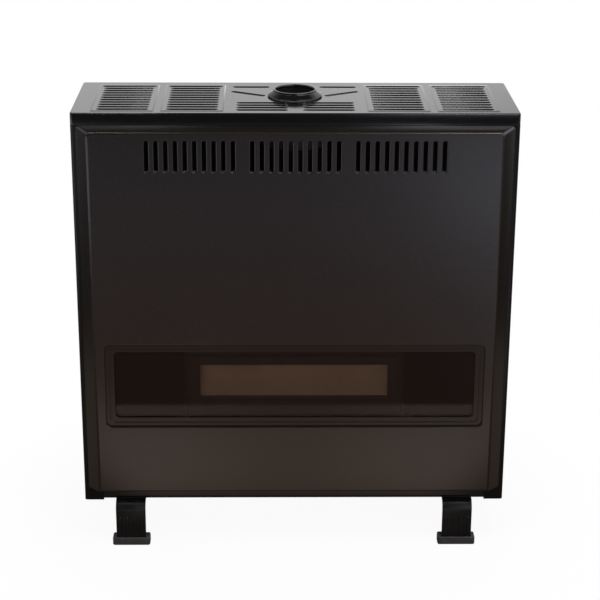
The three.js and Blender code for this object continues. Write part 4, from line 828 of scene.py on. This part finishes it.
# ---------------------------------------------------------------- foot pads
# Moulded rubber blocks with rounded edges, pushed onto the ends of the legs.
PAD_ROUND = 0.0022
PAD_CHAMFER = 0.0015
PAD_CORNER = 0.002
PAD_WALL = 0.002
SOCKET_DEPTH = 0.009
SOCKET_CORNER = 0.0006
SOCKET_ROLL = 0.0004
for facing, outward in (("front", -1), ("rear", 1)):
    for hand in ("left", "right"):
        node = f"foot_pad_{facing}_{hand}"
        leg_low, leg_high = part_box(f"leg_{facing}_{hand}")
        low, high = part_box(node)
        if outward < 0:
            near, far = low.y + PAD_WALL, low.y + PAD_WALL + LEG_THICKNESS
        else:
            near, far = high.y - PAD_WALL - LEG_THICKNESS, high.y - PAD_WALL
        mesh = bmesh.new()
        block = outline(mesh, (low.x + PAD_CHAMFER, low.y + PAD_CHAMFER),
                        (high.x - PAD_CHAMFER, high.y - PAD_CHAMFER), 0, PAD_CORNER)
        bmesh.ops.duplicate(mesh, geom=[block])
        step(mesh, block, -PAD_CHAMFER, PAD_CHAMFER)
        step(mesh, block, 0, high.z - PAD_CHAMFER - PAD_ROUND)
        fold_over(mesh, block, PAD_ROUND, 4)
        step(mesh, block, SUPPORT)
        take_out(mesh, block)
        punch(mesh, (leg_low.x, near), (leg_high.x, far), high.z,
              SOCKET_CORNER, SOCKET_ROLL, SOCKET_DEPTH, floor=True)
        fill_level(mesh, high.z)
        bmesh.ops.remove_doubles(mesh, verts=mesh.verts, dist=LEVEL)
        bmesh.ops.recalc_face_normals(mesh, faces=mesh.faces[:])
        finished(node + "_rubber", mesh, "case", "dark_rubber", dark_rubber, node)

# ---------------------------------------------------------------- control recess
# A pan pressed from black enamelled steel, behind the opening in the right side. The knob and
# the igniter's button stand in it, inside the case's width.
PAN_CORNER = 0.016
PAN_ROLL = 0.002
PAN_COVE = 0.004


def cove(mesh, face, radius, steps=4):
    """A wall that goes down turns in under the face."""
    for a, b in quarter_turn(steps):
        step(mesh, face, radius * (cos(a) - cos(b)), -radius * (sin(b) - sin(a)))


mesh = bmesh.new()
pan = outline(mesh, (recess_low.y, recess_low.z), (recess_high.y, recess_high.z), 0, PAN_CORNER, 6)
step(mesh, pan, RECESS_FLANGE - PAN_ROLL)
roll_down(mesh, pan, PAN_ROLL)
pan_depth = recess_high.x - recess_low.x - SHEET
step(mesh, pan, 0, -(pan_depth - PAN_ROLL - PAN_COVE))
cove(mesh, pan, PAN_COVE)
moved(mesh, Matrix.Translation((recess_high.x, 0, 0)) @ look_right)
finished("recess_pan", mesh, "case", "black_enamel", black_enamel, "control_recess")

# ---------------------------------------------------------------- knob
# A moulded black plastic knob with fourteen flutes and a white line in its pointer groove. It
# is pushed onto the flatted stem of the gas valve.
KNOB_FLUTES = 14
FLUTE_SEGMENTS = 8
FLUTE_DEPTH = 0.0008
KNOB_ROUND = 0.0014
KNOB_BOSS = 0.004
BOSS_INSET = 0.003
GROOVE_HALF = 0.0008
GROOVE_REACH = (0.006, 0.0165)
GROOVE_DEPTH = 0.0007
GROOVE_ROLL = 0.0003
LINE_HALF = 0.00055
LINE_REACH = (0.0063, 0.0162)
LINE_CORNER = 0.0003
LINE_THICKNESS = 0.0002
knob_low, knob_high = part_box("control_knob")
knob_radius = (knob_high.z - knob_low.z) / 2
knob_centre = ((knob_low.y + knob_high.y) / 2, (knob_low.z + knob_high.z) / 2)
knob_length = knob_high.x - knob_low.x
knob_place = Matrix.Translation((knob_low.x, *knob_centre)) @ look_right
mesh = bmesh.new()
made = bmesh.ops.create_circle(
    mesh, cap_ends=True, radius=knob_radius, segments=KNOB_FLUTES * FLUTE_SEGMENTS)
for corner in made["verts"]:
    angle = atan2(corner.co.x, corner.co.y)
    radius = knob_radius - FLUTE_DEPTH * (1 - cos(angle * KNOB_FLUTES)) / 2
    corner.co = Vector((radius * sin(angle), radius * cos(angle), KNOB_BOSS))
grip = mesh.faces[:][0]
step(mesh, grip, 0, knob_length - KNOB_BOSS - KNOB_ROUND)
fold_over(mesh, grip, KNOB_ROUND, 4)
step(mesh, grip, SUPPORT)
take_out(mesh, grip)
punch(mesh, (-GROOVE_HALF, GROOVE_REACH[0]), (GROOVE_HALF, GROOVE_REACH[1]), knob_length,
      GROOVE_HALF - NEARLY_ROUND, GROOVE_ROLL, GROOVE_DEPTH, floor=True)
fill_level(mesh, knob_length)
boss = bmesh.ops.create_circle(
    mesh, cap_ends=True, radius=knob_radius - BOSS_INSET, segments=48)
step(mesh, boss["verts"][0].link_faces[0], 0, KNOB_BOSS)
moved(mesh, knob_place)
finished("knob_grip", mesh, "knob", "black_plastic", black_plastic, "control_knob")

white_paint = plastic("white_paint", (0.70, 0.70, 0.68), (0.62, 0.62, 0.60), 0.5, 700.0, 0.1)
mesh = bmesh.new()
line = outline(mesh, (-LINE_HALF, LINE_REACH[0]), (LINE_HALF, LINE_REACH[1]),
               knob_length - GROOVE_DEPTH, LINE_CORNER, 3)
step(mesh, line, 0, LINE_THICKNESS)
moved(mesh, knob_place)
finished("knob_line", mesh, "knob", "black_plastic", white_paint)

# ---------------------------------------------------------------- igniter
# The black plastic button that is pressed to make the spark. It slides in its bushing, and
# its face is slightly dished for a finger.
BUTTON_RADIUS = 0.008
BUTTON_CHAMFER = 0.001
BUTTON_DISH = 0.0006
BUTTON_ROUND = 0.0005
button_low, button_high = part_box("igniter_button")
button_centre = ((button_low.y + button_high.y) / 2, (button_low.z + button_high.z) / 2)
button_length = button_high.x - button_low.x
mesh = bmesh.new()
turned(mesh, [(0, 0), (BUTTON_RADIUS, 0), (BUTTON_RADIUS, button_length - BUTTON_CHAMFER),
              (BUTTON_RADIUS - BUTTON_CHAMFER, button_length),
              (BUTTON_RADIUS / 2, button_length - BUTTON_DISH / 2),
              (0, button_length - BUTTON_DISH)], BUTTON_ROUND, 40)
moved(mesh, Matrix.Translation((button_low.x, *button_centre)) @ look_right)
finished("button_cap", mesh, "button", "black_plastic", black_plastic, "igniter_button", smooth=50)

# ---------------------------------------------------------------- inside, base and back
# Plated sheet, burner, tubes, tiles and seals inside the case, and the plates under and behind
# it. The solids keep their shapes here and get the finish that each slot names.
BACK_SHEET = (0.1282, 0.1288)


def metal(name, colour, shade, roughness, cell, metalness=1.0, relief=0.1, painted_dark_inside=False):
    """Bare or plated metal: crystals or rolling marks in its tone and gloss, dulled in places.
    When asked, sheet inside the case is painted near black and dull as painted shade; its outside keeps
    the metal's own tone."""
    material, shading, place = new_finish(name)
    crystals = shading.node("ShaderNodeTexVoronoi", {}, {"Vector": place, "Scale": cell}, 1)
    grey = shading.node("ShaderNodeSeparateColor", {}, {0: crystals})
    dull = noise(shading, place, 12.0, 4.0)
    tone = shading.blend(grey * 0.5 + dull * 0.5, (*colour, 1), (*shade, 1))
    uneven = shading.node("ShaderNodeBump", {}, {
        "Strength": relief, "Distance": 0.0002, "Height": dull})
    # painted shade: faces inside the case are painted near black and dull, where the case lies in shade
    if painted_dark_inside:
        outside = spread_out(shading, place)[1].between(*BACK_SHEET)
        tone = shading.blend(outside, (0.006, 0.005, 0.005, 1), tone)
    skin = shading.node("ShaderNodeBsdfPrincipled", {}, {
        "Base Color": tone, "Metallic": metalness * outside if painted_dark_inside else metalness,
        "Roughness": roughness + (dull - 0.5) * 0.25, "Normal": uneven,
        "Specular IOR Level": 0.15 if painted_dark_inside else 0.5})
    shading.node("ShaderNodeOutputMaterial", {}, {0: skin})
    return material


def ceramic_plaque():
    """Pressed ceramic full of fine flame holes, browned by heat. The holes are dark spots of painted
    shade on the flat face.
    """
    material, shading, place = new_finish("ceramic")
    holes = shading.node("ShaderNodeTexVoronoi", {}, {
        "Vector": place, "Scale": 330.0, "Randomness": 0.15})
    browned = noise(shading, place, 16.0, 4.0)
    biscuit = shading.blend(browned, (0.86, 0.48, 0.27, 1), (0.95, 0.62, 0.38, 1))
    # painted shade: each flame hole is a dark spot painted in for the shade inside it
    holes_painted_shade = shading.blend(holes.between(0.22, 0.34), (0.10, 0.06, 0.04, 1), biscuit)
    skin = shading.node("ShaderNodeBsdfPrincipled", {}, {
        "Base Color": holes_painted_shade, "Roughness": 0.85 + browned * 0.1})
    shading.node("ShaderNodeOutputMaterial", {}, {0: skin})
    return material


def mica_sheet():
    """A thin cleaved sheet: clear brown with paler flakes."""
    material, shading, place = new_finish("mica")
    flakes = noise(shading, place, 60.0, 5.0)
    tone = shading.blend(flakes, (0.20, 0.12, 0.07, 1), (0.34, 0.22, 0.14, 1))
    skin = shading.node("ShaderNodeBsdfPrincipled", {}, {
        "Base Color": tone, "Roughness": 0.25 + flakes * 0.2, "Alpha": 0.06 + flakes * 0.08})
    shading.node("ShaderNodeOutputMaterial", {}, {0: skin})
    return material


finishes = {
    "black_enamel": black_enamel,
    "brown_enamel": brown_enamel,
    "smoked_glass": smoked,
    "black_plastic": black_plastic,
    "dark_rubber": dark_rubber,
    # the galvanised sheet gets painted shade on its faces inside the case
    "galvanised": metal("galvanised", (0.42, 0.44, 0.46), (0.55, 0.57, 0.59), 0.45, 90.0, painted_dark_inside=True),
    "heat_steel": metal("heat_steel", (0.030, 0.024, 0.020), (0.050, 0.038, 0.030), 0.62, 60.0, 0.5),
    "ceramic": ceramic_plaque(),
    "seal_fibre": plastic("seal_fibre", (0.30, 0.29, 0.27), (0.42, 0.40, 0.37), 0.9, 600.0, 0.8),
    "mica": mica_sheet(),
    "brass": metal("brass", (0.58, 0.42, 0.16), (0.68, 0.52, 0.24), 0.32, 300.0),
    "copper": metal("copper", (0.55, 0.27, 0.16), (0.66, 0.36, 0.24), 0.38, 300.0),
    "steel": metal("steel", (0.50, 0.50, 0.51), (0.62, 0.62, 0.63), 0.34, 400.0),
}
for entry in frame["record"]["subparts"]:
    for holder in frame["nodes"][entry["node"]].material_slots:
        holder.material = finishes[entry["material_slot"]]

# ---------------------------------------------------------------- back screws
# Eight zinc-plated screws with low heads and cross recesses, driven through the upper and
# lower edges of the back panel.
SCREW_RADIUS = 0.004
SCREW_HEAD = 0.0013
SCREW_ROUND = 0.0008
SCREW_RIM = 0.0002
CROSS_ARM = 0.0022
CROSS_HALF = 0.00055
CROSS_DEPTH = 0.0007
SCREW_COLUMNS = (-0.345, -0.115, 0.115, 0.345)
SCREW_INSET = 0.009
back_low, back_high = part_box("back_panel")
mesh = bmesh.new()
for x in SCREW_COLUMNS:
    for y in (back_low.z + SCREW_INSET, lid_low.z - SCREW_INSET):
        spot = Matrix.Translation((x, y, 0))
        made = bmesh.ops.create_circle(
            mesh, cap_ends=True, radius=SCREW_RADIUS, segments=32, matrix=spot)
        head = made["verts"][0].link_faces[0]
        step(mesh, head, 0, SCREW_HEAD - SCREW_ROUND)
        fold_over(mesh, head, SCREW_ROUND, 4)
        step(mesh, head, SCREW_RIM)
        take_out(mesh, head)
        arm = [Vector((CROSS_ARM, -CROSS_HALF, SCREW_HEAD)),
               Vector((CROSS_ARM, CROSS_HALF, SCREW_HEAD)),
               Vector((CROSS_HALF, CROSS_HALF, SCREW_HEAD))]
        corners = [spot @ Matrix.Rotation(turn * pi / 2, 4, "Z") @ corner
                   for turn in range(4) for corner in arm]
        cross = mesh.faces.new([mesh.verts.new(corner) for corner in corners])
        step(mesh, cross, 0, -CROSS_DEPTH)
fill_level(mesh, SCREW_HEAD)
moved(mesh, Matrix.Translation((0, back_high.y, 0)) @ turn_back @ stand_up)
finished("back_screws", mesh, "case", "steel", finishes["steel"])
